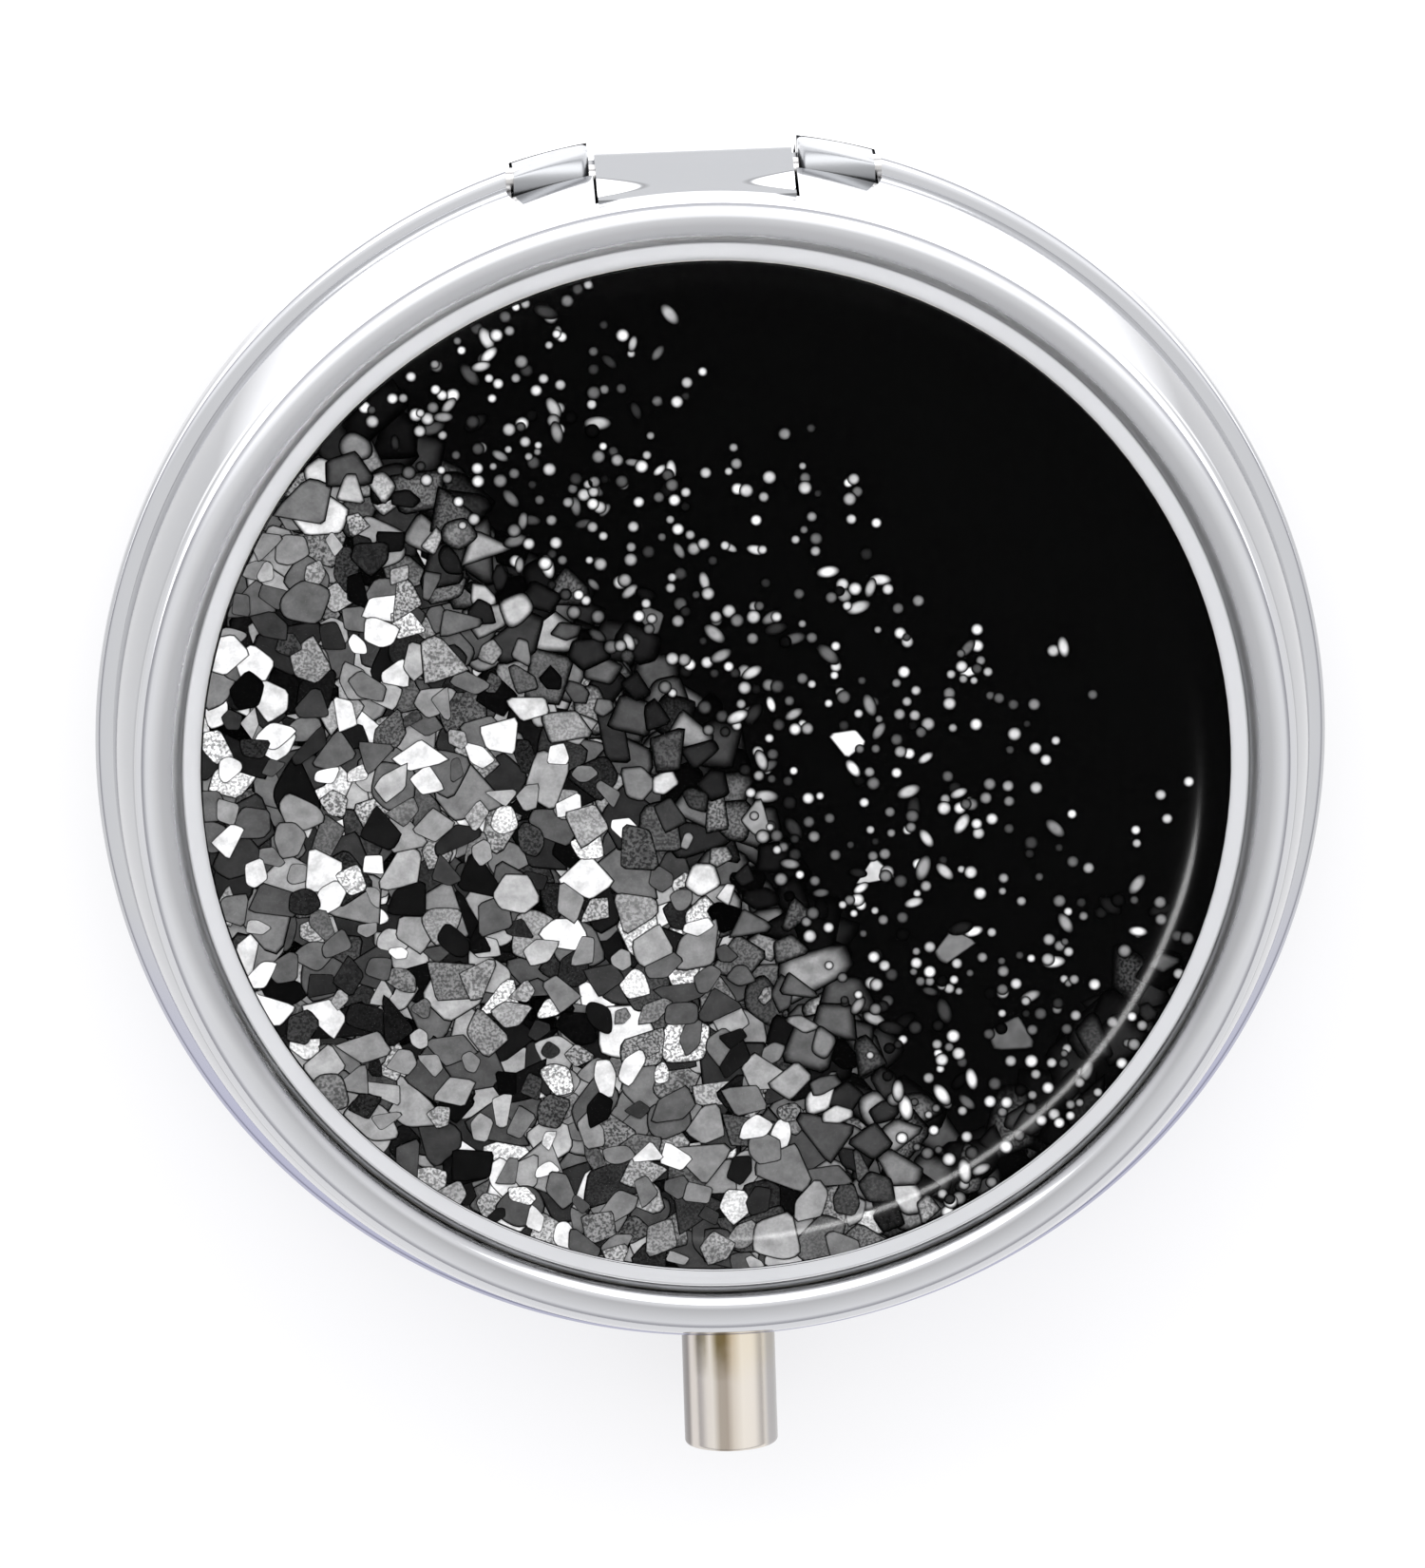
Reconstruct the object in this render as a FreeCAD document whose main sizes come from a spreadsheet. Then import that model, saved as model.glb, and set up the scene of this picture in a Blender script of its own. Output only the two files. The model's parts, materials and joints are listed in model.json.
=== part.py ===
"""Round push-button eyeshadow palette: a stamped metal case 50 mm across whose lid swings on a rear pin.

Frame: millimetres, +Z up, origin at the centre of the foot that the case stands on. The hinge is at +Y
and the release button at -Y. Everything is drawn closed, which is the rest pose.
"""

import FreeCAD, Part
import math
import os
import Sketcher
from FreeCAD import Placement, Rotation, Vector

doc = FreeCAD.newDocument("eyeshadow_palette")
sheet = doc.addObject("Spreadsheet::Sheet", "dims")

# Driving dimensions in millimetres. An inset is measured inwards from the next larger radius.
DRIVING = {
    # stamped base
    "case_radius": 25.0,
    "sheet_thick": 0.5,
    "foot_inset": 4.4,
    "foot_step": 0.45,
    "step_run": 0.5,
    "corner_inset": 3.1,
    "corner_radius": 2.4,
    "rim_height": 7.0,
    "hem_thick": 0.9,
    "hem_depth": 1.9,
    # stamped lid
    "seam_gap": 0.15,
    "lid_ledge": 0.7,
    "lid_height": 5.15,
    "lid_slope": 0.77,
    "lid_hem_depth": 0.9,
    "bead_radius": 0.95,
    # printed disc and its clear dome
    "decal_margin": 0.78,
    "glue_thick": 0.1,
    "print_thick": 0.15,
    "dome_edge": 0.3,
    "dome_shoulder": 1.0,
    "dome_crown": 1.25,
    "dome_round": 2.2,
    # mirror and its bezel
    "mirror_inset": 1.4,
    "mirror_thick": 1.1,
    "mirror_gap": 0.1,
    "pad_thick": 0.6,
    "pad_inset": 0.6,
    "bezel_lip": 0.5,
    "bezel_cover": 0.5,
    "bezel_inset": 0.8,
    # hinge
    "hinge_inset": 1.5,
    "hinge_rise": 0.6,
    "pin_radius": 0.5,
    "pin_overhang": 0.3,
    "turn_gap": 0.05,
    "knuckle_radius": 0.95,
    "knuckle_half": 4.0,
    "knuckle_gap": 0.25,
    "ear_radius": 1.3,
    "ear_half": 7.3,
    "swing_gap": 0.2,
    "swing_room": 0.6,
    "leaf_lift": 1.15,
    # release button and latch
    "button_drop": 2.6,
    "button_radius": 1.9,
    "button_wall": 0.45,
    "button_reach": 5.2,
    "button_grip": 0.9,
    "button_travel": 1.3,
    "button_gap": 0.1,
    "stem_radius": 0.75,
    "slide_gap": 0.06,
    "hook_inset": 0.68,
    "hook_half": 1.9,
    "nose_length": 0.9,
    "nose_height": 0.5,
    "bite": 0.4,
    "lip_gap": 0.1,
    "catch_half": 2.4,
    "catch_drop": 1.2,
    "spring_room": 2.35,
    "spring_turns": 3.5,
    "spring_wire": 0.25,
    "spring_radius": 1.15,
    "bracket_half": 3.4,
    "clip_radius": 1.4,
    "clip_thick": 0.4,
    # tray, pans and powders
    "tray_inset": 1.2,
    "tray_wall": 0.8,
    "tray_gap": 0.15,
    "deck_gap": 0.18,
    "flange_thick": 0.65,
    "skirt_height": 2.4,
    "well_depth": 4.0,
    "well_margin": 0.2,
    "well_rib": 1.0,
    "pan_gap": 0.1,
    "pan_thick": 0.3,
    "pan_height": 3.3,
    "glue_radius": 3.0,
    "powder_room": 0.05,
    "powder_below": 0.15,
    "powder_bevel": 0.35,
}


class Size:
    """A length kept with the spreadsheet formula it comes from, so that sums of sizes stay formulas."""

    def __init__(self, value, text):
        self.value = float(value)
        self.text = text

    def __add__(self, other):
        return Size(self.value + size(other).value, f"({self.text} + {size(other).text})")

    def __sub__(self, other):
        return Size(self.value - size(other).value, f"({self.text} - {size(other).text})")

    def __mul__(self, other):
        return Size(self.value * size(other).value, f"({self.text} * {size(other).text})")

    def __truediv__(self, other):
        return Size(self.value / size(other).value, f"({self.text} / {size(other).text})")

    def __neg__(self):
        return Size(-self.value, f"(-1 * {self.text})")


def size(number):
    """A Size as it is, or a plain number made into one."""
    if isinstance(number, Size):
        return number
    return Size(number, f"({number})")


def leg(hypotenuse, other):
    """The other short side of a right triangle."""
    square = hypotenuse * hypotenuse - other * other
    return Size(math.sqrt(square.value), f"sqrt{square.text}")


def write_cell(alias, content, value):
    """One named row of the spreadsheet, returned as a Size."""
    write_cell.row += 1
    sheet.set(f"A{write_cell.row}", alias)
    sheet.set(f"B{write_cell.row}", content)
    sheet.setAlias(f"B{write_cell.row}", alias)
    return Size(value, f"dims.{alias}")


def derive(alias, value):
    """A size that follows from others, given its own named row."""
    return write_cell(alias, "=" + value.text.replace("dims.", ""), value.value)


class Dims:
    """The driving dimensions as attributes."""


write_cell.row = 0
d = Dims()
for alias, number in DRIVING.items():
    setattr(d, alias, write_cell(alias, str(number), number))

# ---- sizes that follow from the driving dimensions --------------------------------------------------

foot_radius = derive("foot_radius", d.case_radius - d.foot_inset)
ledge_radius = derive("ledge_radius", foot_radius + d.step_run)
floor_radius = derive("floor_radius", foot_radius - d.sheet_thick * 0.4)
floor_ledge = derive("floor_ledge", floor_radius + d.step_run)
corner_start = derive("corner_start", d.case_radius - d.corner_inset)
corner_height = derive("corner_height", d.foot_step + d.corner_radius)
ledge_floor = derive("ledge_floor", d.foot_step + d.sheet_thick)
rim_middle = derive("rim_middle", d.rim_height - d.hem_thick / 2)
rim_inner = derive("rim_inner", d.case_radius - d.hem_thick)

# The base's side is a tight corner arc running tangent into a long arc that ends upright at the rim.
climb = derive("side_climb", rim_middle - corner_height)
side_radius = derive(
    "side_radius",
    (d.corner_inset * d.corner_inset + climb * climb - d.corner_radius * d.corner_radius)
    / ((d.corner_inset - d.corner_radius) * 2),
)
side_centre = derive("side_centre", d.case_radius - side_radius)
side_span = derive("side_span", side_radius - d.corner_radius)

lid_low = derive("lid_low", d.rim_height + d.seam_gap)
lid_middle = derive("lid_middle", lid_low + d.hem_thick / 2)
lid_radius = derive("lid_radius", d.case_radius - d.lid_ledge)
lid_inner = derive("lid_inner", lid_radius - d.hem_thick)
lid_top = derive("lid_top", lid_low + d.lid_height)
ceiling = derive("ceiling", lid_top - d.sheet_thick)
bead_outer = derive("bead_outer", lid_radius - d.lid_slope)
bead_centre = derive("bead_centre", bead_outer - d.bead_radius)
bead_inner = derive("bead_inner", bead_centre - d.bead_radius)
lid_climb = derive("lid_climb", lid_top - lid_middle)
lid_curve = derive("lid_curve", (d.lid_slope * d.lid_slope + lid_climb * lid_climb) / (d.lid_slope * 2))
lid_centre = derive("lid_centre", lid_radius - lid_curve)

decal_radius = derive("decal_radius", bead_inner - d.decal_margin)
print_low = derive("print_low", lid_top + d.glue_thick)
dome_low = derive("dome_low", print_low + d.print_thick)

mirror_radius = derive("mirror_radius", bead_inner - d.mirror_inset)
mirror_high = derive("mirror_high", ceiling - d.pad_thick)
mirror_low = derive("mirror_low", mirror_high - d.mirror_thick)
bezel_low = derive("bezel_low", mirror_low - d.bezel_lip)
bezel_radius = derive("bezel_radius", bead_outer - d.bezel_inset)
bezel_seat = derive("bezel_seat", mirror_radius + d.mirror_gap)

hinge_back = derive("hinge_back", d.case_radius - d.hinge_inset)
hinge_height = derive("hinge_height", d.rim_height + d.hinge_rise)
ear_start = derive("ear_start", d.knuckle_half + d.knuckle_gap)
ear_top = derive("ear_top", hinge_height + d.ear_radius)
swing_radius = derive("swing_radius", d.ear_radius + d.swing_room)
hinge_room = derive("hinge_room", d.ear_half + d.swing_room)
flange_start = derive("flange_start", mirror_radius + d.mirror_gap + d.sheet_thick + d.swing_gap)

button_height = derive("button_height", d.rim_height - d.button_drop)
button_tip = derive("button_tip", d.case_radius + d.button_reach)
button_back = derive("button_back", d.case_radius - d.button_grip)
hook_front = derive("hook_front", bead_outer - d.hook_inset)
hook_back = derive("hook_back", hook_front - d.sheet_thick)
nose_tip = derive("nose_tip", hook_back - d.nose_length)
nose_low = derive("nose_low", button_height + d.button_radius + d.slide_gap * 2)
lip_low = derive("lip_low", nose_low + d.nose_height + d.lip_gap)
catch_front = derive("catch_front", nose_tip - d.swing_gap)
catch_back = derive("catch_back", catch_front - d.sheet_thick)
catch_low = derive("catch_low", button_height - d.catch_drop)
catch_top = derive("catch_top", lip_low + d.sheet_thick)
bracket_front = derive("bracket_front", catch_back - d.spring_room)
bracket_back = derive("bracket_back", bracket_front - d.sheet_thick)
clip_front = derive("clip_front", bracket_back - d.slide_gap)
clip_back = derive("clip_back", clip_front - d.clip_thick)

tray_radius = derive("tray_radius", rim_inner - d.tray_inset)
deck_top = derive("deck_top", catch_top + d.deck_gap + d.tray_wall)
deck_low = derive("deck_low", deck_top - d.tray_wall)
well_floor = derive("well_floor", deck_top - d.well_depth)

# Three equal wells a third of a turn apart, a rib between neighbours, their tubes inside the foot.
HALF_STEP = round(math.sin(math.pi / 3), 9)
tube_reach = derive("tube_reach", floor_radius - d.well_margin)
well_reach = derive("well_reach", (tube_reach - d.tray_wall + d.well_rib / 2) / (1 + HALF_STEP))
well_radius = derive("well_radius", well_reach * HALF_STEP - d.well_rib / 2)
pan_radius = derive("pan_radius", well_radius - d.pan_gap)
pan_low = derive("pan_low", well_floor + d.glue_thick)
doc.recompute()


# ---- sketches and features --------------------------------------------------------------------------


def bind(made, prop, value):
    made.setExpression(prop, size(value).text)


def new_body(label):
    body = doc.addObject("PartDesign::Body", label)
    body.Label = label
    return body


def new_sketch(body, name, role):
    """A sketch on one of the body's own origin planes, found by its role."""
    sketch = body.newObject("Sketcher::SketchObject", name)
    plane = [feature for feature in body.Origin.OriginFeatures if feature.Role == role][0]
    sketch.AttachmentSupport = [(plane, "")]
    sketch.MapMode = "FlatFace"
    return sketch


def hold(sketch, geo, end, axis, value):
    """Holds one coordinate of a sketch point at a Size, measured from the sketch's origin."""
    if abs(value.value) < 1e-9:
        sketch.addConstraint(Sketcher.Constraint("PointOnObject", geo, end, -2 if axis == "X" else -1))
        return
    points = (-1, 1, geo, end) if value.value > 0 else (geo, end, -1, 1)
    index = sketch.addConstraint(Sketcher.Constraint(f"Distance{axis}", *points, abs(value.value)))
    sketch.setExpression(f"Constraints[{index}]", value.text if value.value > 0 else (-value).text)


def add_arc(sketch, start, stop, centre, turn):
    """An arc about centre from start to stop, turning +1 (counter-clockwise) or -1."""
    first, last = (start, stop) if turn > 0 else (stop, start)
    angles = [math.atan2(point.y - centre.y, point.x - centre.x) for point in (first, last)]
    if angles[1] < angles[0]:
        angles[1] += 2 * math.pi
    circle = Part.Circle(centre, Vector(0, 0, 1), (start - centre).Length)
    return sketch.addGeometry(Part.ArcOfCircle(circle, *angles), False)


def outline(sketch, start, steps):
    """Draws a closed outline. A step is (x, y) for a line, or (x, y, centre, turn, kept) for an arc, where
    kept, "X" or "Y", is the coordinate of its end that is held."""
    here = Vector(size(start[0]).value, size(start[1]).value, 0)
    drawn = []
    for step in steps:
        there = Vector(size(step[0]).value, size(step[1]).value, 0)
        ends, kept = (1, 2), "XY"
        if len(step) == 2:
            geo = sketch.addGeometry(Part.LineSegment(here, there), False)
        else:
            centre, turn, kept = step[2:]
            middle = Vector(size(centre[0]).value, size(centre[1]).value, 0)
            geo = add_arc(sketch, here, there, middle, turn)
            ends = (1, 2) if turn > 0 else (2, 1)
            hold(sketch, geo, 3, "X", size(centre[0]))
            hold(sketch, geo, 3, "Y", size(centre[1]))
        drawn.append((geo, ends, kept, size(step[0]), size(step[1])))
        here = there
    for index, (geo, ends, kept, x, y) in enumerate(drawn):
        after, after_ends = drawn[(index + 1) % len(drawn)][:2]
        sketch.addConstraint(Sketcher.Constraint("Coincident", geo, ends[1], after, after_ends[0]))
        if "X" in kept:
            hold(sketch, geo, ends[1], "X", x)
        if "Y" in kept:
            hold(sketch, geo, ends[1], "Y", y)


def rectangle(x0, y0, x1, y1):
    """A drawing function for a rectangle between two corners."""
    return lambda sketch: outline(sketch, (x0, y0), [(x1, y0), (x1, y1), (x0, y1), (x0, y0)])


def circle(x, y, radius):
    """A drawing function for a full circle."""

    def draw(sketch):
        centre = Vector(size(x).value, size(y).value, 0)
        geo = sketch.addGeometry(Part.Circle(centre, Vector(0, 0, 1), size(radius).value), False)
        hold(sketch, geo, 3, "X", size(x))
        hold(sketch, geo, 3, "Y", size(y))
        index = sketch.addConstraint(Sketcher.Constraint("Radius", geo, size(radius).value))
        sketch.setExpression(f"Constraints[{index}]", size(radius).text)

    return draw


def turned(body, name, start, steps):
    """A solid turned about the body's own Z axis from an outline whose x is the radius."""
    sketch = new_sketch(body, f"{name}_sketch", "XZ_Plane")
    outline(sketch, start, steps)
    made = body.newObject("PartDesign::Revolution", name)
    made.Profile = sketch
    made.ReferenceAxis = (sketch, ["V_Axis"])
    made.Angle = 360
    doc.recompute()
    return made


def across(body, name, kind, half, draw):
    """A Pad or Pocket reaching half to each side of the YZ plane; the sketch's x is Y and its y is Z."""
    sketch = new_sketch(body, f"{name}_sketch", "YZ_Plane")
    draw(sketch)
    made = body.newObject(f"PartDesign::{kind}", name)
    made.Profile = sketch
    made.SideType = "Symmetric"
    bind(made, "Length", size(half) * 2)
    doc.recompute()
    return made


def between(body, name, kind, role, low, high, draw):
    """A Pad or Pocket between two distances along a plane's normal: up for XY, to the front for XZ."""
    low, high = size(low), size(high)
    sketch = new_sketch(body, f"{name}_sketch", role)
    draw(sketch)
    sketch.AttachmentOffset = Placement(Vector(0, 0, low.value), Rotation())
    bind(sketch, "AttachmentOffset.Base.z", low)
    made = body.newObject(f"PartDesign::{kind}", name)
    made.Profile = sketch
    bind(made, "Length", high - low)
    made.Reversed = kind == "Pocket"
    doc.recompute()
    return made


def around(body, feature, count):
    """Repeats a feature about the Z axis."""
    made = body.newObject("PartDesign::PolarPattern", f"{feature.Name}_pattern")
    made.Originals = [feature]
    made.Axis = (feature.Profile[0], ["N_Axis"])
    made.Angle = 360
    made.Occurrences = count
    body.Tip = made
    doc.recompute()
    return made


def face_front(body):
    """Lays a turned body along the button's axis, its own Z pointing to the front."""
    body.Placement = Placement(Vector(0, 0, 0), Rotation(Vector(1, 0, 0), 90))
    bind(body, "Placement.Base.z", button_height)


EXPORTS = []


def keep(made):
    """Lists a finished sub-part for export."""
    EXPORTS.append(made)
    return made


# ---- base: stamped cup with a rolled rim ------------------------------------------------------------


def corner_meet(radius):
    """Where the corner arc of this radius meets the long side arc: on the line through both centres."""
    share = radius / side_span
    return corner_start + (corner_start - side_centre) * share, corner_height - climb * share


def make_base_shell():
    body = new_body("base_shell")
    thick = d.sheet_thick
    corner = (corner_start, corner_height)
    side = (side_centre, rim_middle)
    hem_low = rim_middle - d.hem_depth
    hem_foot = hem_low - d.hem_thick / 2
    outer_meet = corner_meet(d.corner_radius)
    inner_meet = corner_meet(d.corner_radius - thick)
    turned(
        body,
        "cup",
        (0, 0),
        [
            (foot_radius, 0),
            (ledge_radius, d.foot_step),
            (corner_start, d.foot_step),
            (*outer_meet, corner, 1, "Y"),
            (d.case_radius, rim_middle, side, 1, "Y"),
            (rim_inner, rim_middle, (d.case_radius - d.hem_thick / 2, rim_middle), 1, "Y"),
            (rim_inner, hem_low),
            (side_centre + leg(side_radius - thick, rim_middle - hem_foot), hem_foot),
            (*inner_meet, side, -1, "Y"),
            (corner_start, ledge_floor, corner, -1, "X"),
            (floor_ledge, ledge_floor),
            (floor_radius, thick),
            (0, thick),
            (0, 0),
        ],
    )
    across(body, "hinge_relief", "Pocket", hinge_room, circle(hinge_back, hinge_height, swing_radius))
    notch_low = hinge_height - swing_radius + d.swing_gap
    notch = rectangle(rim_inner - d.hem_thick, notch_low, d.case_radius + 1, d.rim_height + 1)
    across(body, "knuckle_notch", "Pocket", ear_start, notch)
    hole = circle(0, button_height, d.button_radius + d.button_gap)
    between(body, "button_hole", "Pocket", "XZ_Plane", corner_start, d.case_radius + 1, hole)
    return keep(body)


# ---- hinge: ears on the base, a knuckle on the lid, one pin -----------------------------------------


def make_base_hinge_leaf():
    """A curved strip against the rim's inner wall carries two ears that are trimmed to the case's round."""
    body = new_body("base_hinge_leaf")
    strip_inner = rim_inner - d.sheet_thick
    strip_low = corner_height + d.leaf_lift
    turned(
        body,
        "strip",
        (strip_inner, strip_low),
        [
            (rim_inner, strip_low),
            (rim_inner, hinge_height),
            (strip_inner, hinge_height),
            (strip_inner, strip_low),
        ],
    )
    cut_front = rectangle(-d.case_radius - 1, strip_low - 1, hinge_back - d.ear_half, hinge_height + 1)
    across(body, "front_cut", "Pocket", d.case_radius + 1, cut_front)
    for name, side in (("left", -1), ("right", 1)):
        edge = d.ear_half * side
        trim = rectangle(edge, 0, (d.case_radius + 1) * side, d.case_radius + 1)
        between(body, f"{name}_cut", "Pocket", "XY_Plane", strip_low - 1, hinge_height + 1, trim)
    across(body, "ears", "Pad", d.ear_half, circle(hinge_back, hinge_height, d.ear_radius))
    across(body, "knuckle_room", "Pocket", ear_start, circle(hinge_back, hinge_height, swing_radius))
    across(body, "pin_hole", "Pocket", d.ear_half + 1, circle(hinge_back, hinge_height, d.pin_radius))
    far = d.case_radius * 2
    rounding = between(
        body,
        "rounding",
        "Pocket",
        "XY_Plane",
        strip_low - 1,
        ear_top + 1,
        lambda sketch: (circle(0, 0, d.case_radius)(sketch), circle(0, 0, far)(sketch)),
    )
    body.Tip = rounding
    return keep(body)


def make_hinge_pin():
    body = new_body("hinge_pin")
    half = d.ear_half + d.pin_overhang
    across(body, "rod", "Pad", half, circle(hinge_back, hinge_height, d.pin_radius))
    return keep(body)


def make_lid_hinge_leaf():
    """Knuckle, sloping plate and a flange welded under the lid's ceiling."""
    body = new_body("lid_hinge_leaf")
    knuckle = circle(hinge_back, hinge_height, d.knuckle_radius)
    across(body, "knuckle", "Pad", d.knuckle_half, knuckle)
    plate_out = hinge_back + d.knuckle_radius
    top_out = bead_outer - d.glue_thick

    def draw(sketch):
        outline(
            sketch,
            (plate_out, hinge_height),
            [
                (top_out, ceiling),
                (flange_start, ceiling),
                (flange_start, ceiling - d.sheet_thick),
                (top_out - d.sheet_thick, ceiling - d.sheet_thick),
                (plate_out - d.sheet_thick, hinge_height),
                (plate_out, hinge_height),
            ],
        )

    across(body, "plate", "Pad", d.knuckle_half, draw)
    bore = circle(hinge_back, hinge_height, d.pin_radius + d.turn_gap)
    across(body, "bore", "Pocket", d.knuckle_half + 1, bore)
    return keep(body)


# ---- lid: stamped cap with a half-round bead around the printed disc --------------------------------


def make_lid_shell():
    body = new_body("lid_shell")
    thick = d.sheet_thick
    bead = (bead_centre, lid_top)
    side = (lid_centre, lid_middle)
    hem_high = lid_middle + d.lid_hem_depth
    hem_head = hem_high + d.hem_thick / 2
    inner_curve = lid_curve - thick
    groove_outer = bead_outer - thick
    groove_inner = bead_inner + thick
    turned(
        body,
        "cap",
        (0, lid_top),
        [
            (bead_inner, lid_top),
            (bead_outer, lid_top, bead, -1, "Y"),
            (lid_radius, lid_middle, side, -1, "Y"),
            (lid_inner, lid_middle, (lid_radius - d.hem_thick / 2, lid_middle), -1, "Y"),
            (lid_inner, hem_high),
            (lid_centre + leg(inner_curve, hem_head - lid_middle), hem_head),
            (groove_outer, lid_middle + leg(inner_curve, groove_outer - lid_centre), side, 1, "X"),
            (groove_outer, lid_top),
            (groove_inner, lid_top, bead, 1, "Y"),
            (groove_inner, ceiling),
            (0, ceiling),
            (0, lid_top),
        ],
    )
    back = d.case_radius + 1
    ear_cut = rectangle(hinge_back - swing_radius * 2, lid_low - 1, back, ear_top + d.swing_gap)
    across(body, "ear_clearance", "Pocket", hinge_room + d.swing_gap, ear_cut)
    plate_cut = rectangle(hinge_back - swing_radius, lid_low - 1, back, ceiling + d.swing_gap)
    across(body, "plate_notch", "Pocket", d.knuckle_half + d.slide_gap * 2, plate_cut)
    return keep(body)


def make_lid_catch():
    """A bent strip: flange under the ceiling, tongue down at the front, nose turned inwards."""
    body = new_body("lid_catch")
    thick = d.sheet_thick
    nose_high = nose_low + d.nose_height

    def draw(sketch):
        outline(
            sketch,
            (-flange_start, ceiling),
            [
                (-hook_front, ceiling),
                (-hook_front, nose_low),
                (-(nose_tip + d.nose_length / 2), nose_low),
                (-nose_tip, nose_low + d.nose_height / 2),
                (-nose_tip, nose_high),
                (-hook_back, nose_high),
                (-hook_back, ceiling - thick),
                (-flange_start, ceiling - thick),
                (-flange_start, ceiling),
            ],
        )

    across(body, "strip", "Pad", d.hook_half, draw)
    return keep(body)


def make_disc(label, radius, low, high):
    """A plain disc about the body's own Z axis."""
    body = new_body(label)
    turned(body, "disc", (0, low), [(radius, low), (radius, high), (0, high), (0, low)])
    return keep(body)


def make_dome():
    """Clear resin dome: an upright edge, a rounded shoulder and a shallow crown."""
    body = new_body("decal_dome")
    shoulder_x = decal_radius - d.dome_round
    rise = d.dome_shoulder - d.dome_edge
    round_radius = derive("dome_round_radius", (d.dome_round * d.dome_round + rise * rise) / (rise * 2))
    swell = d.dome_crown - d.dome_shoulder
    crown_radius = derive("dome_crown_radius", (shoulder_x * shoulder_x + swell * swell) / (swell * 2))
    shoulder_z = dome_low + d.dome_shoulder
    crown_z = dome_low + d.dome_crown
    turned(
        body,
        "dome",
        (0, dome_low),
        [
            (decal_radius, dome_low),
            (decal_radius, dome_low + d.dome_edge),
            (shoulder_x, shoulder_z, (shoulder_x, shoulder_z - round_radius), 1, "X"),
            (0, crown_z, (0, crown_z - crown_radius), 1, "X"),
            (0, dome_low),
        ],
    )
    return keep(body)


def make_bezel():
    """Moulded ring that carries the mirror, notched for the hinge flange and the catch flange."""
    body = new_body("mirror_bezel")
    opening = mirror_radius - d.bezel_cover
    turned(
        body,
        "ring",
        (opening, bezel_low),
        [
            (bezel_radius, bezel_low),
            (bezel_radius, ceiling),
            (bezel_seat, ceiling),
            (bezel_seat, mirror_low),
            (opening, mirror_low),
            (opening, bezel_low),
        ],
    )
    wall = bezel_seat + d.sheet_thick
    hinge_notch = rectangle(wall, bezel_low - 1, d.case_radius, ceiling + 1)
    across(body, "hinge_notch", "Pocket", d.knuckle_half + d.swing_gap, hinge_notch)
    catch_notch = rectangle(-d.case_radius, bezel_low - 1, -wall, ceiling + 1)
    across(body, "catch_notch", "Pocket", d.hook_half + d.swing_gap, catch_notch)
    return keep(body)


# ---- release button and latch -----------------------------------------------------------------------


def make_button_cap():
    """Drawn cup with a bevelled, slightly domed end, pressed over the stem's head."""
    body = new_body("button_cap")
    inner = d.button_radius - d.button_wall
    bevel = d.button_wall
    dome = d.button_wall / 2
    face = d.button_radius - bevel
    curve = (face * face + dome * dome) / (dome * 2)
    floor = button_tip - d.button_wall * 2
    turned(
        body,
        "cap",
        (inner, button_back),
        [
            (d.button_radius, button_back),
            (d.button_radius, button_tip - dome - bevel),
            (face, button_tip - dome),
            (0, button_tip, (0, button_tip - curve), 1, "X"),
            (0, floor),
            (inner, floor),
            (inner, button_back),
        ],
    )
    face_front(body)
    return keep(body)


def make_button_stem():
    """Turned rod with a head that fills the cap and a thin end that slides in the bracket."""
    body = new_body("button_stem")
    head_high = button_tip - d.button_wall * 2
    head_low = button_back + d.button_wall
    head_radius = d.button_radius - d.button_wall
    turned(
        body,
        "rod",
        (0, clip_back - d.slide_gap * 3),
        [
            (d.stem_radius, clip_back - d.slide_gap * 3),
            (d.stem_radius, head_low),
            (head_radius, head_low),
            (head_radius, head_high),
            (0, head_high),
            (0, clip_back - d.slide_gap * 3),
        ],
    )
    face_front(body)
    return keep(body)


def make_latch_catch():
    """Upright plate fixed on the stem; its lip reaches over the lid's nose."""
    body = new_body("latch_catch")

    def draw(sketch):
        lip_edge = nose_tip + d.bite
        outline(
            sketch,
            (-catch_back, catch_low),
            [
                (-catch_back, catch_top),
                (-lip_edge, catch_top - d.sheet_thick / 4),
                (-lip_edge, lip_low),
                (-catch_front, lip_low),
                (-catch_front, catch_low),
                (-catch_back, catch_low),
            ],
        )

    across(body, "plate", "Pad", d.catch_half, draw)
    hole = circle(0, button_height, d.stem_radius)
    between(body, "stem_hole", "Pocket", "XZ_Plane", catch_back - 1, catch_front + 1, hole)
    return keep(body)


def make_latch_bracket():
    """Channel welded to the base's floor; the stem slides through its rear wall."""
    body = new_body("latch_bracket")
    thick = d.sheet_thick
    front = foot_radius - thick - d.slide_gap
    top = button_height + d.button_radius
    outer = rectangle(-d.bracket_half, thick, d.bracket_half, top)
    between(body, "block", "Pad", "XZ_Plane", bracket_back, front, outer)
    inner = d.bracket_half - thick
    room = rectangle(-inner, thick * 2, inner, top + 1)
    between(body, "channel", "Pocket", "XZ_Plane", bracket_front, front + 1, room)
    hole = circle(0, button_height, d.stem_radius + d.slide_gap)
    between(body, "stem_hole", "Pocket", "XZ_Plane", bracket_back - 1, bracket_front + 1, hole)
    return keep(body)


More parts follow.
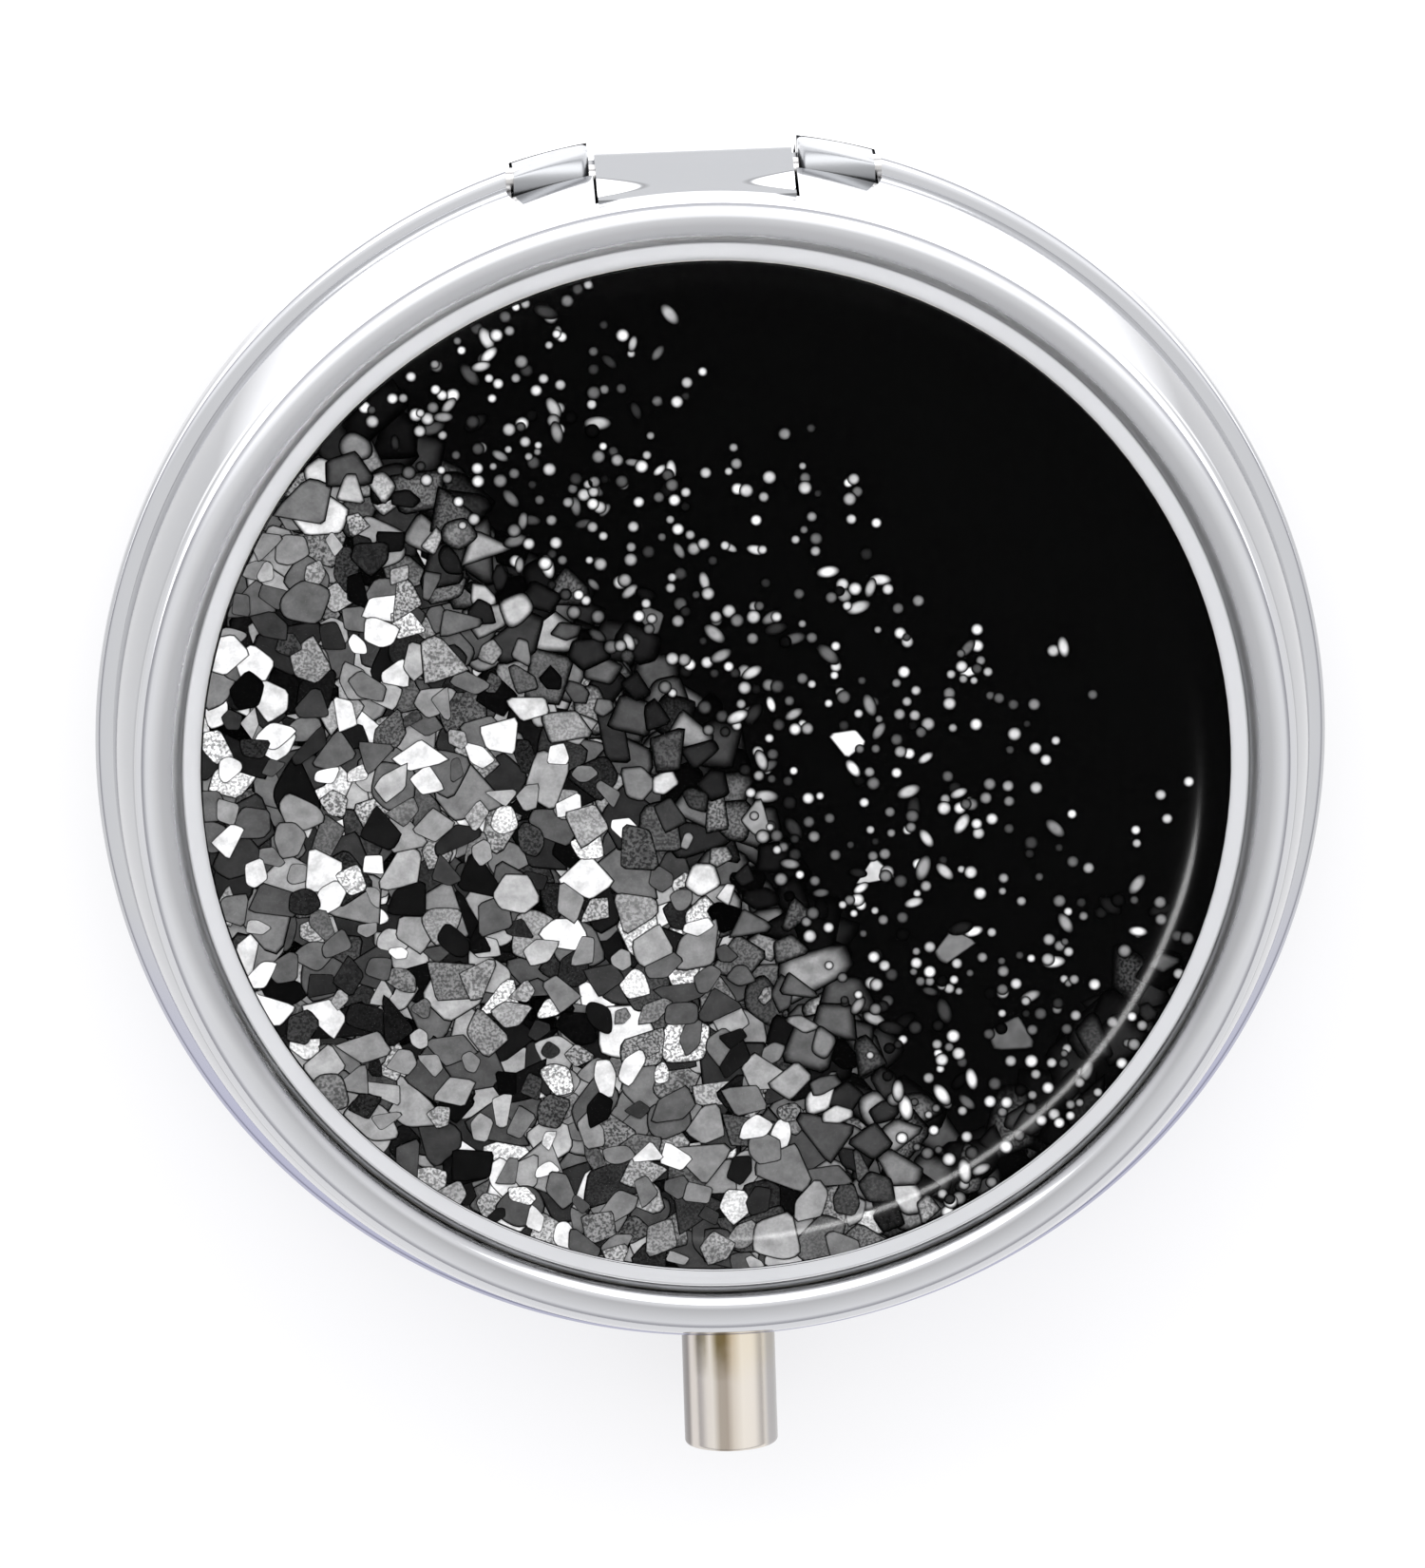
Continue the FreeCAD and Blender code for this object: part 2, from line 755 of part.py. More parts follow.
def make_retaining_clip():
    body = new_body("retaining_clip")
    turned(
        body,
        "washer",
        (d.stem_radius, clip_back),
        [
            (d.clip_radius, clip_back),
            (d.clip_radius, clip_front),
            (d.stem_radius, clip_front),
            (d.stem_radius, clip_back),
        ],
    )
    face_front(body)
    return keep(body)


def make_return_spring():
    """Eight-sided wire swept along a helix about the stem, between the bracket and the catch."""
    wire = d.spring_wire / 2
    length = d.spring_room - d.spring_wire - d.slide_gap
    coil = doc.addObject("Part::Helix", "spring_path")
    bind(coil, "Pitch", length / d.spring_turns)
    bind(coil, "Height", length)
    bind(coil, "Radius", d.spring_radius)
    section = doc.addObject("Part::RegularPolygon", "spring_section")
    section.Polygon = 8
    bind(section, "Circumradius", wire)
    section.Placement = Placement(Vector(0, 0, 0), Rotation(Vector(1, 0, 0), 90))
    bind(section, "Placement.Base.x", d.spring_radius)
    doc.recompute()
    spring = doc.addObject("Part::Sweep", "return_spring")
    spring.Label = "return_spring"
    spring.Sections = [section]
    spring.Spine = (coil, [f"Edge{index + 1}" for index in range(len(coil.Shape.Edges))])
    spring.Solid = True
    spring.Frenet = True
    spring.Placement = Placement(Vector(0, 0, 0), Rotation(Vector(1, 0, 0), 90))
    bind(spring, "Placement.Base.y", -(bracket_front + wire + d.slide_gap / 2))
    bind(spring, "Placement.Base.z", button_height)
    doc.recompute()
    return keep(spring)


# ---- tray, pans and powders -------------------------------------------------------------------------


def make_tray():
    """Moulded deck with a skirt, a flange that closes the gap to the rim, and three round wells."""
    body = new_body("tray")
    wall = d.tray_wall
    flange_high = d.rim_height - d.slide_gap
    flange_low = flange_high - d.flange_thick
    flange_out = rim_inner - d.tray_gap
    turned(
        body,
        "deck",
        (0, deck_low),
        [
            (tray_radius - wall, deck_low),
            (tray_radius - wall, d.skirt_height),
            (tray_radius, d.skirt_height),
            (tray_radius, flange_low),
            (flange_out, flange_low),
            (flange_out, flange_high),
            (tray_radius, flange_high),
            (tray_radius, deck_top),
            (0, deck_top),
            (0, deck_low),
        ],
    )
    tube = circle(0, well_reach, well_radius + wall)
    around(body, between(body, "tube", "Pad", "XY_Plane", d.sheet_thick, deck_top, tube), 3)
    well = circle(0, well_reach, well_radius)
    around(body, between(body, "well", "Pocket", "XY_Plane", well_floor, deck_top + 1, well), 3)
    under = between(body, "under", "Pocket", "XY_Plane", d.sheet_thick - 1, well_floor - wall, well)
    around(body, under, 3)
    ear_front = hinge_back - swing_radius
    rear = rectangle(ear_front, d.sheet_thick - 1, d.case_radius, deck_top + 1)
    across(body, "hinge_flat", "Pocket", hinge_room, rear)
    latch = rectangle(-d.case_radius, d.sheet_thick - 1, -(tray_radius - wall * 2), deck_low)
    across(body, "latch_gate", "Pocket", d.bracket_half + d.swing_gap, latch)
    slot = rectangle(-d.case_radius, deck_low - 1, -(nose_tip - d.swing_gap), deck_top + 1)
    across(body, "hook_slot", "Pocket", d.hook_half + d.swing_gap, slot)
    return keep(body)


PLACES = {"rear": 90, "left": 210, "right": 330}


def at_well(body, angle):
    """Moves a body drawn about its own axis to one of the three wells."""
    across_share = round(math.cos(math.radians(angle)), 12)
    back_share = round(math.sin(math.radians(angle)), 12)
    body.Placement = Placement(
        Vector(well_reach.value * across_share, well_reach.value * back_share, 0), Rotation()
    )
    if across_share:
        bind(body, "Placement.Base.x", well_reach * across_share)
    bind(body, "Placement.Base.y", well_reach * back_share)


def make_pan(place, angle):
    """Shallow drawn cup."""
    body = new_body(f"pan_{place}")
    high = pan_low + d.pan_height
    inner = pan_radius - d.pan_thick
    turned(
        body,
        "cup",
        (0, pan_low),
        [
            (pan_radius, pan_low),
            (pan_radius, high),
            (inner, high),
            (inner, pan_low + d.pan_thick),
            (0, pan_low + d.pan_thick),
            (0, pan_low),
        ],
    )
    at_well(body, angle)
    return keep(body)


def make_powder(place, angle):
    """Pressed cake with a bevelled edge, filling its pan."""
    body = new_body(f"powder_{place}")
    low = pan_low + d.pan_thick
    high = pan_low + d.pan_height - d.powder_below
    radius = pan_radius - d.pan_thick - d.powder_room
    turned(
        body,
        "cake",
        (0, low),
        [
            (radius, low),
            (radius, high - d.powder_bevel),
            (radius - d.powder_bevel, high),
            (0, high),
            (0, low),
        ],
    )
    at_well(body, angle)
    return keep(body)


def make_glue(place, angle):
    """Dot of glue under a pan."""
    at_well(make_disc(f"glue_{place}", d.glue_radius, well_floor, pan_low), angle)


# ---- build, check and export ------------------------------------------------------------------------

make_base_shell()
make_base_hinge_leaf()
make_hinge_pin()
make_latch_bracket()
make_return_spring()
make_tray()
for place, angle in PLACES.items():
    make_pan(place, angle)
    make_powder(place, angle)
    make_glue(place, angle)
make_lid_shell()
make_lid_hinge_leaf()
make_lid_catch()
make_bezel()
make_disc("mirror", mirror_radius, mirror_low, mirror_high)
make_disc("mirror_pad", mirror_radius - d.pad_inset, mirror_high, ceiling)
make_disc("decal_adhesive", decal_radius, lid_top, print_low)
make_disc("decal_print", decal_radius, print_low, dome_low)
make_dome()
make_button_cap()
make_button_stem()
make_latch_catch()
make_retaining_clip()
doc.recompute()

for made in doc.Objects:
    if {"Invalid", "Error"} & set(made.State):
        raise RuntimeError(f"{made.Name}: {made.State}")

os.makedirs("parts", exist_ok=True)
for made in EXPORTS:
    if made.Shape.isNull() or not made.Shape.isValid():
        raise RuntimeError(f"{made.Label} has no valid shape")
    made.Shape.exportStep(os.path.join("parts", f"{made.Label}.step"))
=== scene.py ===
"""Looks of a round metal eyeshadow palette, 50 mm across, with a push button, a rear hinge and a domed lid."""

import json
from math import cos, pi, radians, sin, sqrt, tan

import bpy
import numpy as np
from mathutils import Euler, Matrix, Vector


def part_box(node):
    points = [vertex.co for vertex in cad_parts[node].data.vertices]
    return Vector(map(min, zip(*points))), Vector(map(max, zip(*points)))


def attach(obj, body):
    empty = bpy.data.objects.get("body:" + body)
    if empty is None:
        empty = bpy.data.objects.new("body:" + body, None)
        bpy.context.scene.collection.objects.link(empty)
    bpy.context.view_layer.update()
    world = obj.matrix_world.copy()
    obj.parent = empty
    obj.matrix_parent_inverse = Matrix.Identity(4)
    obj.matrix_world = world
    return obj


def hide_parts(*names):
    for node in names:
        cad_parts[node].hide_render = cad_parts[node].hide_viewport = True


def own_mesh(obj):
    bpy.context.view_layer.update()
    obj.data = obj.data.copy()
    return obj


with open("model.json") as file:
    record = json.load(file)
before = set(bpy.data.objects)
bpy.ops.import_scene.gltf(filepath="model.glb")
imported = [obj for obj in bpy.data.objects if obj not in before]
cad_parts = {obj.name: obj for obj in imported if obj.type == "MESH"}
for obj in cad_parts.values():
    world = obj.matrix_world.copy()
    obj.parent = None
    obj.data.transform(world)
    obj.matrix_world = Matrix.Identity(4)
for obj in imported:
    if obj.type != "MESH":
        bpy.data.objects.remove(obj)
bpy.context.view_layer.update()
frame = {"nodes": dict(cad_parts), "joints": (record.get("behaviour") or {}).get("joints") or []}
MM = 0.001


# ---- camera ------------------------------------------------------------------------------------------
# A long lens looks down on the closed case from a little behind the hinge, with a slight roll. It is aimed at
# the height of the base's rim, a little in front of the middle.

case_low, case_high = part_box("base_shell")
aim = Vector((0.0, -1.9 * MM, case_high.z))
view_distance = 1.2
view_width = 57.9 * MM
tilt_back = radians(12.3)
tilt_left = radians(1.7)
roll = radians(2.2)

lens = bpy.data.cameras.new("camera")
lens.sensor_fit = "HORIZONTAL"
lens.sensor_width = 36.0
lens.lens = 36.0 * view_distance / view_width
lens.clip_start = 0.01
lens.clip_end = 20.0
camera = bpy.data.objects.new("camera", lens)
camera.rotation_mode = "QUATERNION"
camera.rotation_quaternion = (
    Euler((-tilt_back, 0.0, 0.0)).to_quaternion()
    @ Euler((0.0, -tilt_left, 0.0)).to_quaternion()
    @ Euler((0.0, 0.0, -roll)).to_quaternion()
)
camera.location = aim + camera.rotation_quaternion @ Vector((0.0, 0.0, view_distance))
bpy.context.scene.collection.objects.link(camera)
bpy.context.scene.camera = camera


# ---- light and floor ---------------------------------------------------------------------------------
# A white studio tent, two softboxes, and a plain pale table that glows a little, brighter behind the case.
# The key softbox lights the dome alone, for its soft arc of shine.

bpy.context.scene.view_settings.view_transform = "Standard"


def new_material(name):
    """An empty node material and its Principled shader."""
    made = bpy.data.materials.new(name)
    made.use_nodes = True
    return made, made.node_tree, made.node_tree.nodes["Principled BSDF"]


def link_all(nodes, *pairs):
    """Joins output sockets to input sockets."""
    for output, socket in pairs:
        nodes.links.new(output, socket)


def add(nodes, kind, **values):
    """A shader node with some of its properties and unlinked inputs set."""
    node = nodes.nodes.new(f"ShaderNode{kind}")
    for name, value in values.items():
        if name in node.inputs:
            node.inputs[name].default_value = value
        else:
            setattr(node, name, value)
    return node


def ramp(nodes, source, *stops):
    """A colour ramp of grey or coloured stops, fed by a socket."""
    node = nodes.nodes.new("ShaderNodeValToRGB")
    for index, (place, value) in enumerate(stops):
        element = node.color_ramp.elements[index] if index < 2 else node.color_ramp.elements.new(place)
        element.position = place
        element.color = (*value, 1) if isinstance(value, tuple) else (value, value, value, 1)
    nodes.links.new(source, node.inputs[0])
    return node.outputs[0]


def calc(nodes, operation, *terms):
    """A math node over sockets and numbers."""
    node = add(nodes, "Math", operation=operation)
    for index, term in enumerate(terms):
        if isinstance(term, (int, float)):
            node.inputs[index].default_value = term
        else:
            nodes.links.new(term, node.inputs[index])
    return node.outputs[0]


world = bpy.data.worlds.new("studio")
bpy.context.scene.world = world
world.use_nodes = True
tent = world.node_tree
tent_split = add(tent, "SeparateXYZ")
tent.links.new(add(tent, "TexCoord").outputs["Generated"], tent_split.inputs[0])
walls = ramp(
    tent,
    tent_split.outputs["Z"],
    (0.0, (0.42, 0.42, 0.45)),
    (0.2, (0.55, 0.55, 0.58)),
    (0.45, (0.97, 0.97, 0.99)),
    (1.0, (1.0, 1.0, 1.01)),
)
rear_panel = ramp(tent, tent_split.outputs["Y"], (0.2, 0.66), (0.42, 1.0))
tent.links.new(walls, tent.nodes["Background"].inputs["Color"])
tent.links.new(calc(tent, "MULTIPLY", rear_panel, 1.75), tent.nodes["Background"].inputs["Strength"])


def softbox(name, azimuth, from_top, distance, width, height, power):
    """A rectangular lamp that faces the case from an azimuth (0 is +X) and an angle from straight up."""
    lamp = bpy.data.lights.new(name, "AREA")
    lamp.shape = "RECTANGLE"
    lamp.size = width
    lamp.size_y = height
    lamp.energy = power
    place = bpy.data.objects.new(name, lamp)
    side, rise = radians(azimuth), radians(from_top)
    toward = Vector((cos(side) * sin(rise), sin(side) * sin(rise), cos(rise)))
    place.location = aim + toward * distance
    place.rotation_mode = "QUATERNION"
    place.rotation_quaternion = toward.to_track_quat("Z", "Y")
    bpy.context.scene.collection.objects.link(place)
    return place


key = softbox("key_softbox", azimuth=-58, from_top=34, distance=0.7, width=0.42, height=0.07, power=70.0)
softbox("back_softbox", azimuth=95, from_top=50, distance=0.8, width=0.9, height=0.5, power=3.0)

floor_size = 4.0
floor_mesh = bpy.data.meshes.new("floor")
corner = floor_size / 2
floor_mesh.from_pydata(
    [(-corner, -corner, 0), (corner, -corner, 0), (corner, corner, 0), (-corner, corner, 0)], [], [(0, 1, 2, 3)]
)
floor = bpy.data.objects.new("floor", floor_mesh)
floor.location.z = case_low.z - 0.02 * MM
bpy.context.scene.collection.objects.link(floor)
paper, paper_nodes, paper_shader = new_material("white_paper")
paper_shader.inputs["Base Color"].default_value = (0.3, 0.3, 0.3, 1)
paper_shader.inputs["Roughness"].default_value = 0.9
paper_shader.inputs["Specular IOR Level"].default_value = 0.1
paper_split = add(paper_nodes, "SeparateXYZ")
paper_nodes.links.new(add(paper_nodes, "TexCoord").outputs["Object"], paper_split.inputs[0])
behind = add(paper_nodes, "MapRange")
behind.inputs["From Min"].default_value = 16.5 * MM
behind.inputs["From Max"].default_value = 22.5 * MM
behind.inputs["To Min"].default_value = 0.66
behind.inputs["To Max"].default_value = 2.0
paper_nodes.links.new(paper_split.outputs["Y"], behind.inputs["Value"])
paper_shader.inputs["Emission Color"].default_value = (0.985, 0.985, 1.0, 1)
paper_nodes.links.new(behind.outputs["Result"], paper_shader.inputs["Emission Strength"])
floor_mesh.materials.append(paper)


# ---- base shell --------------------------------------------------------------------------------------
# A cup stamped from half-millimetre steel, bright chrome plated, its rim rolled inwards. It is cut away at
# the back for the hinge and pierced at the front for the button.


def arc(centre, radius, start, stop, count):
    """Points on a circle, centre + radius (cos a, sin a), for count angles from start to stop in degrees."""
    angle = np.radians(np.linspace(start, stop, count))
    return np.column_stack((centre[0] + radius * np.cos(angle), centre[1] + radius * np.sin(angle)))


def piece_from(name, points, faces, sharp=35):
    """A smooth-shaded object from vertex and face arrays, with edges past the sharp angle kept crisp."""
    mesh = bpy.data.meshes.new(name)
    mesh.from_pydata(points.tolist(), [], [face for group in faces for face in group.tolist()])
    mesh.validate()
    mesh.shade_smooth()
    mesh.set_sharp_from_angle(angle=radians(sharp))
    made = bpy.data.objects.new(name, mesh)
    bpy.context.scene.collection.objects.link(made)
    return made


def grid_faces(rows, columns, wrap_rows=False, wrap_columns=False):
    """Quads between neighbours on a rows by columns grid, as rows of four vertex numbers."""
    row = np.arange(rows if wrap_rows else rows - 1)[:, None]
    column = np.arange(columns if wrap_columns else columns - 1)[None, :]
    after_row, after_column = (row + 1) % rows, (column + 1) % columns
    corners = (row, column), (row, after_column), (after_row, after_column), (after_row, column)
    return np.stack([a * columns + b for a, b in corners], axis=-1).reshape(-1, 4)


def turned(name, outline, turns, sharp=35):
    """A solid of revolution about the upright axis, (x, y, z) = (r cos a, r sin a, z). The outline holds its
    (r, z) points counter-clockwise. One that starts and ends on the axis is closed there by two fans."""
    outline = np.asarray(outline, float)
    poles = outline[0, 0] == 0 and outline[-1, 0] == 0
    ring = outline[1:-1] if poles else outline
    angle = np.linspace(0, 2 * pi, turns, endpoint=False)
    r, z = ring[:, 0][:, None], ring[:, 1][:, None]
    shape = (r * np.cos(angle), r * np.sin(angle), z + 0 * angle)
    points = np.stack(shape, axis=-1).reshape(-1, 3)
    faces = [grid_faces(len(ring), turns, wrap_rows=not poles, wrap_columns=True)]
    if poles:
        ends = [(0, 0, outline[0, 1]), (0, 0, outline[-1, 1])]
        first, last = len(points), len(points) + 1
        points = np.vstack((points, ends))
        here = np.arange(turns)
        after = (here + 1) % turns
        low = np.column_stack((np.full(turns, first), after, here))
        high = np.column_stack((here, after, np.full(turns, last))) + [[(len(ring) - 1) * turns] * 2 + [0]]
        faces += [low, high]
    return piece_from(name, points, faces, sharp)


def block(name, low, high):
    """A box between two corners."""
    x, y, z = (np.array((a, b)) for a, b in zip(low, high))
    points = np.stack(np.meshgrid(x, y, z, indexing="ij"), axis=-1).reshape(-1, 3)
    faces = np.array([(0, 1, 3, 2), (4, 6, 7, 5), (0, 4, 5, 1), (2, 3, 7, 6), (0, 2, 6, 4), (1, 5, 7, 3)])
    return piece_from(name, points, [faces])


def rod(name, axis, start, stop, centre, radius):
    """A round bar along X (axis 0) or Y (axis 1) between two distances; centre gives the other two places."""
    bar = turned(name, [(0, start), (radius, start), (radius, stop), (0, stop)], turns=96)
    points = np.zeros(len(bar.data.vertices) * 3)
    bar.data.vertices.foreach_get("co", points)
    x, y, z = points.reshape(-1, 3).T
    placed = (z, x + centre[0], y + centre[1]) if axis == 0 else (y + centre[0], z, x + centre[1])
    bar.data.vertices.foreach_set("co", np.column_stack(placed).ravel())
    bar.data.update()
    return bar


def cut(piece, *tools, sharp=35):
    """Takes the tools out of the piece, and removes the tools."""
    for tool in tools:
        step = piece.modifiers.new(tool.name, "BOOLEAN")
        step.operation = "DIFFERENCE"
        step.solver = "EXACT"
        step.object = tool
    bpy.context.view_layer.update()
    done = bpy.data.meshes.new_from_object(piece.evaluated_get(bpy.context.evaluated_depsgraph_get()))
    piece.modifiers.clear()
    piece.data = done
    done.name = piece.name
    for tool in tools:
        bpy.data.objects.remove(tool)
    done.shade_smooth()
    done.set_sharp_from_angle(angle=radians(sharp))
    return piece


def plated_metal(name, colour, roughness, haze=0.05, scuff=0.02):
    """Polished plating: a faint cloudiness in its polish, fine wiping marks and a slight waviness."""
    made, nodes, shader = new_material(name)
    place = add(nodes, "TexCoord").outputs["Object"]
    cloud = add(nodes, "TexNoise", Scale=260.0, Detail=4.0)
    turn = add(nodes, "Mapping")
    turn.inputs["Scale"].default_value = (1.0, 9.0, 1.0)
    turn.inputs["Rotation"].default_value = (0.0, 0.0, radians(35))
    marks = add(nodes, "TexNoise", Scale=900.0, Detail=5.0, Roughness=0.7)
    link_all(
        nodes,
        (place, cloud.inputs["Vector"]),
        (place, turn.inputs["Vector"]),
        (turn.outputs[0], marks.inputs["Vector"]),
    )
    wear = calc(nodes, "MULTIPLY", ramp(nodes, marks.outputs["Fac"], (0.55, 0.0), (0.75, 1.0)), haze)
    clouded = calc(nodes, "MULTIPLY_ADD", cloud.outputs["Fac"], haze, roughness - haze / 2)
    nodes.links.new(calc(nodes, "ADD", clouded, wear), shader.inputs["Roughness"])
    bump = add(nodes, "Bump", Strength=scuff, Distance=0.02 * MM)
    link_all(nodes, (marks.outputs["Fac"], bump.inputs["Height"]), (bump.outputs[0], shader.inputs["Normal"]))
    tint = add(nodes, "Mix", data_type="RGBA")
    tint.inputs["A"].default_value = (*colour, 1)
    tint.inputs["B"].default_value = (*(0.95 * c for c in colour), 1)
    link_all(
        nodes,
        (cloud.outputs["Fac"], tint.inputs["Factor"]),
        (tint.outputs["Result"], shader.inputs["Base Color"]),
    )
    shader.inputs["Metallic"].default_value = 1.0
    return made, nodes, shader, tint.outputs["Result"], place


def finish_piece(piece, body, slot_name, material, *nodes):
    """Paints a piece, sets it on its body and hides the nodes it stands for."""
    piece.data.materials.clear()
    piece.data.materials.append(material)
    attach(piece, body)
    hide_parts(*nodes)
    return piece


hinge = next(joint for joint in frame["joints"] if joint["name"] == "lid_hinge")
hinge_y, hinge_z = hinge["pos_m"][1:]
button_low, button_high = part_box("button_cap")
button_z = (button_low.z + button_high.z) / 2
button_radius = (button_high.z - button_low.z) / 2

case_radius = case_high.x
rim_height = case_high.z
sheet = 0.5 * MM
foot_radius = case_radius - 4.4 * MM
foot_step = 0.45 * MM
corner_start = case_radius - 3.1 * MM
corner_radius = 2.4 * MM
hem = 0.45 * MM
hem_depth = 1.9 * MM
lip_radius = case_radius - 0.72 * MM
lip_rise = 0.09 * MM
hem_rise = 0.05 * MM
relief_radius = 1.9 * MM
relief_half = 7.42 * MM
seat_half = 4.25 * MM
seat_sheet = 0.4 * MM
seat_play = 0.02 * MM
seat_top = 1.75 * MM
seat_bottom = 7.25 * MM
notch_lift = 0.2 * MM
button_play = 0.1 * MM
overcut = 1 * MM

corner_z = foot_step + corner_radius
rim_middle = rim_height - hem
climb = rim_middle - corner_z
inset = case_radius - corner_start
side_radius = (inset**2 + climb**2 - corner_radius**2) / (2 * (inset - corner_radius))
side_x = case_radius - side_radius
meet = -np.degrees(np.arctan2(climb, corner_start - side_x))
side_inner = side_radius - sheet
inner_top = -np.degrees(np.arcsin((hem_depth + hem) / side_inner))
step = 0.5 * MM
under = 0.2 * MM
base_outline = np.vstack(
    (
        [(0, 0), (foot_radius * 0.5, 0)],
        arc((foot_radius - step / 2, step / 2), step / 2, -90, -48, 5),
        arc((foot_radius + step, foot_step - step / 2), step / 2, 132, 90, 5),
        arc((corner_start, corner_z), corner_radius, -90, meet, 26)[1:],
        arc((side_x, rim_middle), side_radius, meet, 0, 22)[1:],
        arc((case_radius - hem, rim_middle), hem, 0, 72, 9)[1:],
        [(lip_radius, rim_height + lip_rise), (case_radius - 2 * hem, rim_height + hem_rise)],
        [(case_radius - 2 * hem, rim_middle - hem_depth)],
        arc((side_x, rim_middle), side_inner, inner_top, meet, 20),
        arc((corner_start, corner_z), corner_radius - sheet, meet, -90, 16)[1:],
        [(foot_radius + step - under, foot_step + sheet), (foot_radius - under, sheet), (0, sheet)],
    )
)
base_shell = turned("base_shell_skin", base_outline, turns=480)
seat_foot = (0.0, 24.3 * MM, hinge_z)
seat_lean = -radians(14)


def leaning(tool, pivot, angle):
    """Turns a tool about X and moves it to its pivot."""
    tool.data.transform(Matrix.Translation(pivot) @ Matrix.Rotation(angle, 4, "X"))
    return tool


back = case_radius + overcut
cut(
    base_shell,
    leaning(block("seat", (-seat_half, 0, -9 * MM), (seat_half, 4 * MM, 3 * MM)), seat_foot, seat_lean),
    rod("relief", 0, -relief_half, relief_half, (hinge_y, hinge_z), relief_radius),
    block(
        "knuckle_notch",
        (-seat_half, case_radius - 4 * hem, hinge_z - relief_radius + notch_lift),
        (seat_half, back, rim_height + overcut),
    ),
    rod("button_hole", 1, -back, -corner_start, (0, button_z), button_radius + button_play),
)
chrome, nodes, shader, tinted, place = plated_metal("bright_chrome", (0.53, 0.535, 0.55), roughness=0.11)
# Painted reflection: the base's colour is painted darker and bluer toward its front, for a bluish reflection along
# its wall. Its chrome is also set darker than the lid's, 0.53 against 0.62, a shaded copy of the same plating.
split = add(nodes, "SeparateXYZ")
nodes.links.new(place, split.inputs[0])
front = calc(nodes, "MULTIPLY_ADD", split.outputs["Y"], -0.5 / case_radius, 0.5)
painted_blue_reflection = ramp(nodes, front, (0.62, (1.0, 1.0, 1.0)), (0.8, (0.84, 0.84, 1.02)), (1.0, (0.8, 0.8, 0.98)))
blue_reflection_mix = add(nodes, "Mix", data_type="RGBA", blend_type="MULTIPLY")
blue_reflection_mix.inputs["Factor"].default_value = 1.0
link_all(
    nodes,
    (tinted, blue_reflection_mix.inputs["A"]),
    (painted_blue_reflection, blue_reflection_mix.inputs["B"]),
    (blue_reflection_mix.outputs["Result"], shader.inputs["Base Color"]),
)
finish_piece(base_shell, "base", "bright_chrome", chrome, "base_shell")
seat = leaning(
    block(
        "hinge_seat",
        (-seat_half + seat_play, -seat_sheet, -seat_bottom),
        (seat_half - seat_play, 0, -seat_top),
    ),
    seat_foot,
    seat_lean,
)
finish_piece(seat, "base", "bright_chrome", chrome)


# ---- lid shell ---------------------------------------------------------------------------------------
# A cap stamped from the same chromed steel, with a half-round bead standing around a flat satin panel. It
# is cut away at the back around the hinge ears and the hinge plate.

lid_low_corner, lid_high_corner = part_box("lid_shell")
lid_low = lid_low_corner.z
bead_radius = 0.95 * MM
panel_z = lid_high_corner.z - bead_radius
lid_radius = case_radius - 0.7 * MM
lid_middle = lid_low + hem
bead_outer = lid_radius - 0.77 * MM
bead_centre = bead_outer - bead_radius
bead_inner = bead_centre - bead_radius
lid_hem_depth = 0.9 * MM
ceiling = panel_z - sheet
rise = panel_z - lid_middle
lean = lid_radius - bead_outer
lid_curve = (lean**2 + rise**2) / (2 * lean)
lid_x = lid_radius - lid_curve
lid_turn = np.degrees(np.arcsin(rise / lid_curve))
inner_curve = lid_curve - sheet
groove_outer = bead_outer - sheet
crease = 0.05 * MM
fillet = 0.1 * MM
edge_round = 0.15 * MM
inner_high = np.degrees(np.arccos((groove_outer - lid_x) / inner_curve))
inner_low = np.degrees(np.arcsin((lid_hem_depth + hem) / inner_curve))
lid_outline = np.vstack(
    (
        [(0, ceiling), (bead_inner * 0.6, ceiling), (bead_inner + sheet, ceiling)],
        arc((bead_centre, panel_z), bead_radius - sheet, 180, 0, 18),
        arc((lid_x, lid_middle), inner_curve, inner_high, inner_low, 16),
        [(lid_radius - 2 * hem, lid_middle + lid_hem_depth)],
        arc((lid_radius - hem, lid_middle), hem, 180, 270, 9),
        arc((lid_radius - edge_round, lid_low + edge_round), edge_round, 270, 360, 8),
        arc((lid_x, lid_middle), lid_curve, 0, lid_turn - 0.45, 40)[1:],
        [(bead_outer - crease, panel_z)],
        arc((bead_centre, panel_z), bead_radius, 4, 165, 44),
        arc((bead_inner - fillet, panel_z + fillet), fillet, 0, -90, 8)[1:],
        [(bead_inner * 0.95, panel_z), (bead_inner * 0.6, panel_z), (0, panel_z)],
    )
)
lid_shell = turned("lid_shell_skin", lid_outline, turns=480, sharp=28)
ear_radius = 1.3 * MM
ear_play = 0.15 * MM
notch_half = 4.12 * MM
notch_top = ceiling + 0.2 * MM
cut(
    lid_shell,
    block(
        "ear_clearance",
        (-relief_half, hinge_y - 2 * relief_radius, lid_low - overcut),
        (relief_half, back, hinge_z + ear_radius + ear_play),
    ),
    block(
        "plate_notch",
        (-notch_half, hinge_y - relief_radius, lid_low - overcut),
        (notch_half, back, notch_top),
    ),
    sharp=28,
)
lid_chrome, nodes, shader, tinted, place = plated_metal("lid_chrome", (0.62, 0.625, 0.64), roughness=0.1)
split = add(nodes, "SeparateXYZ")
nodes.links.new(place, split.inputs[0])
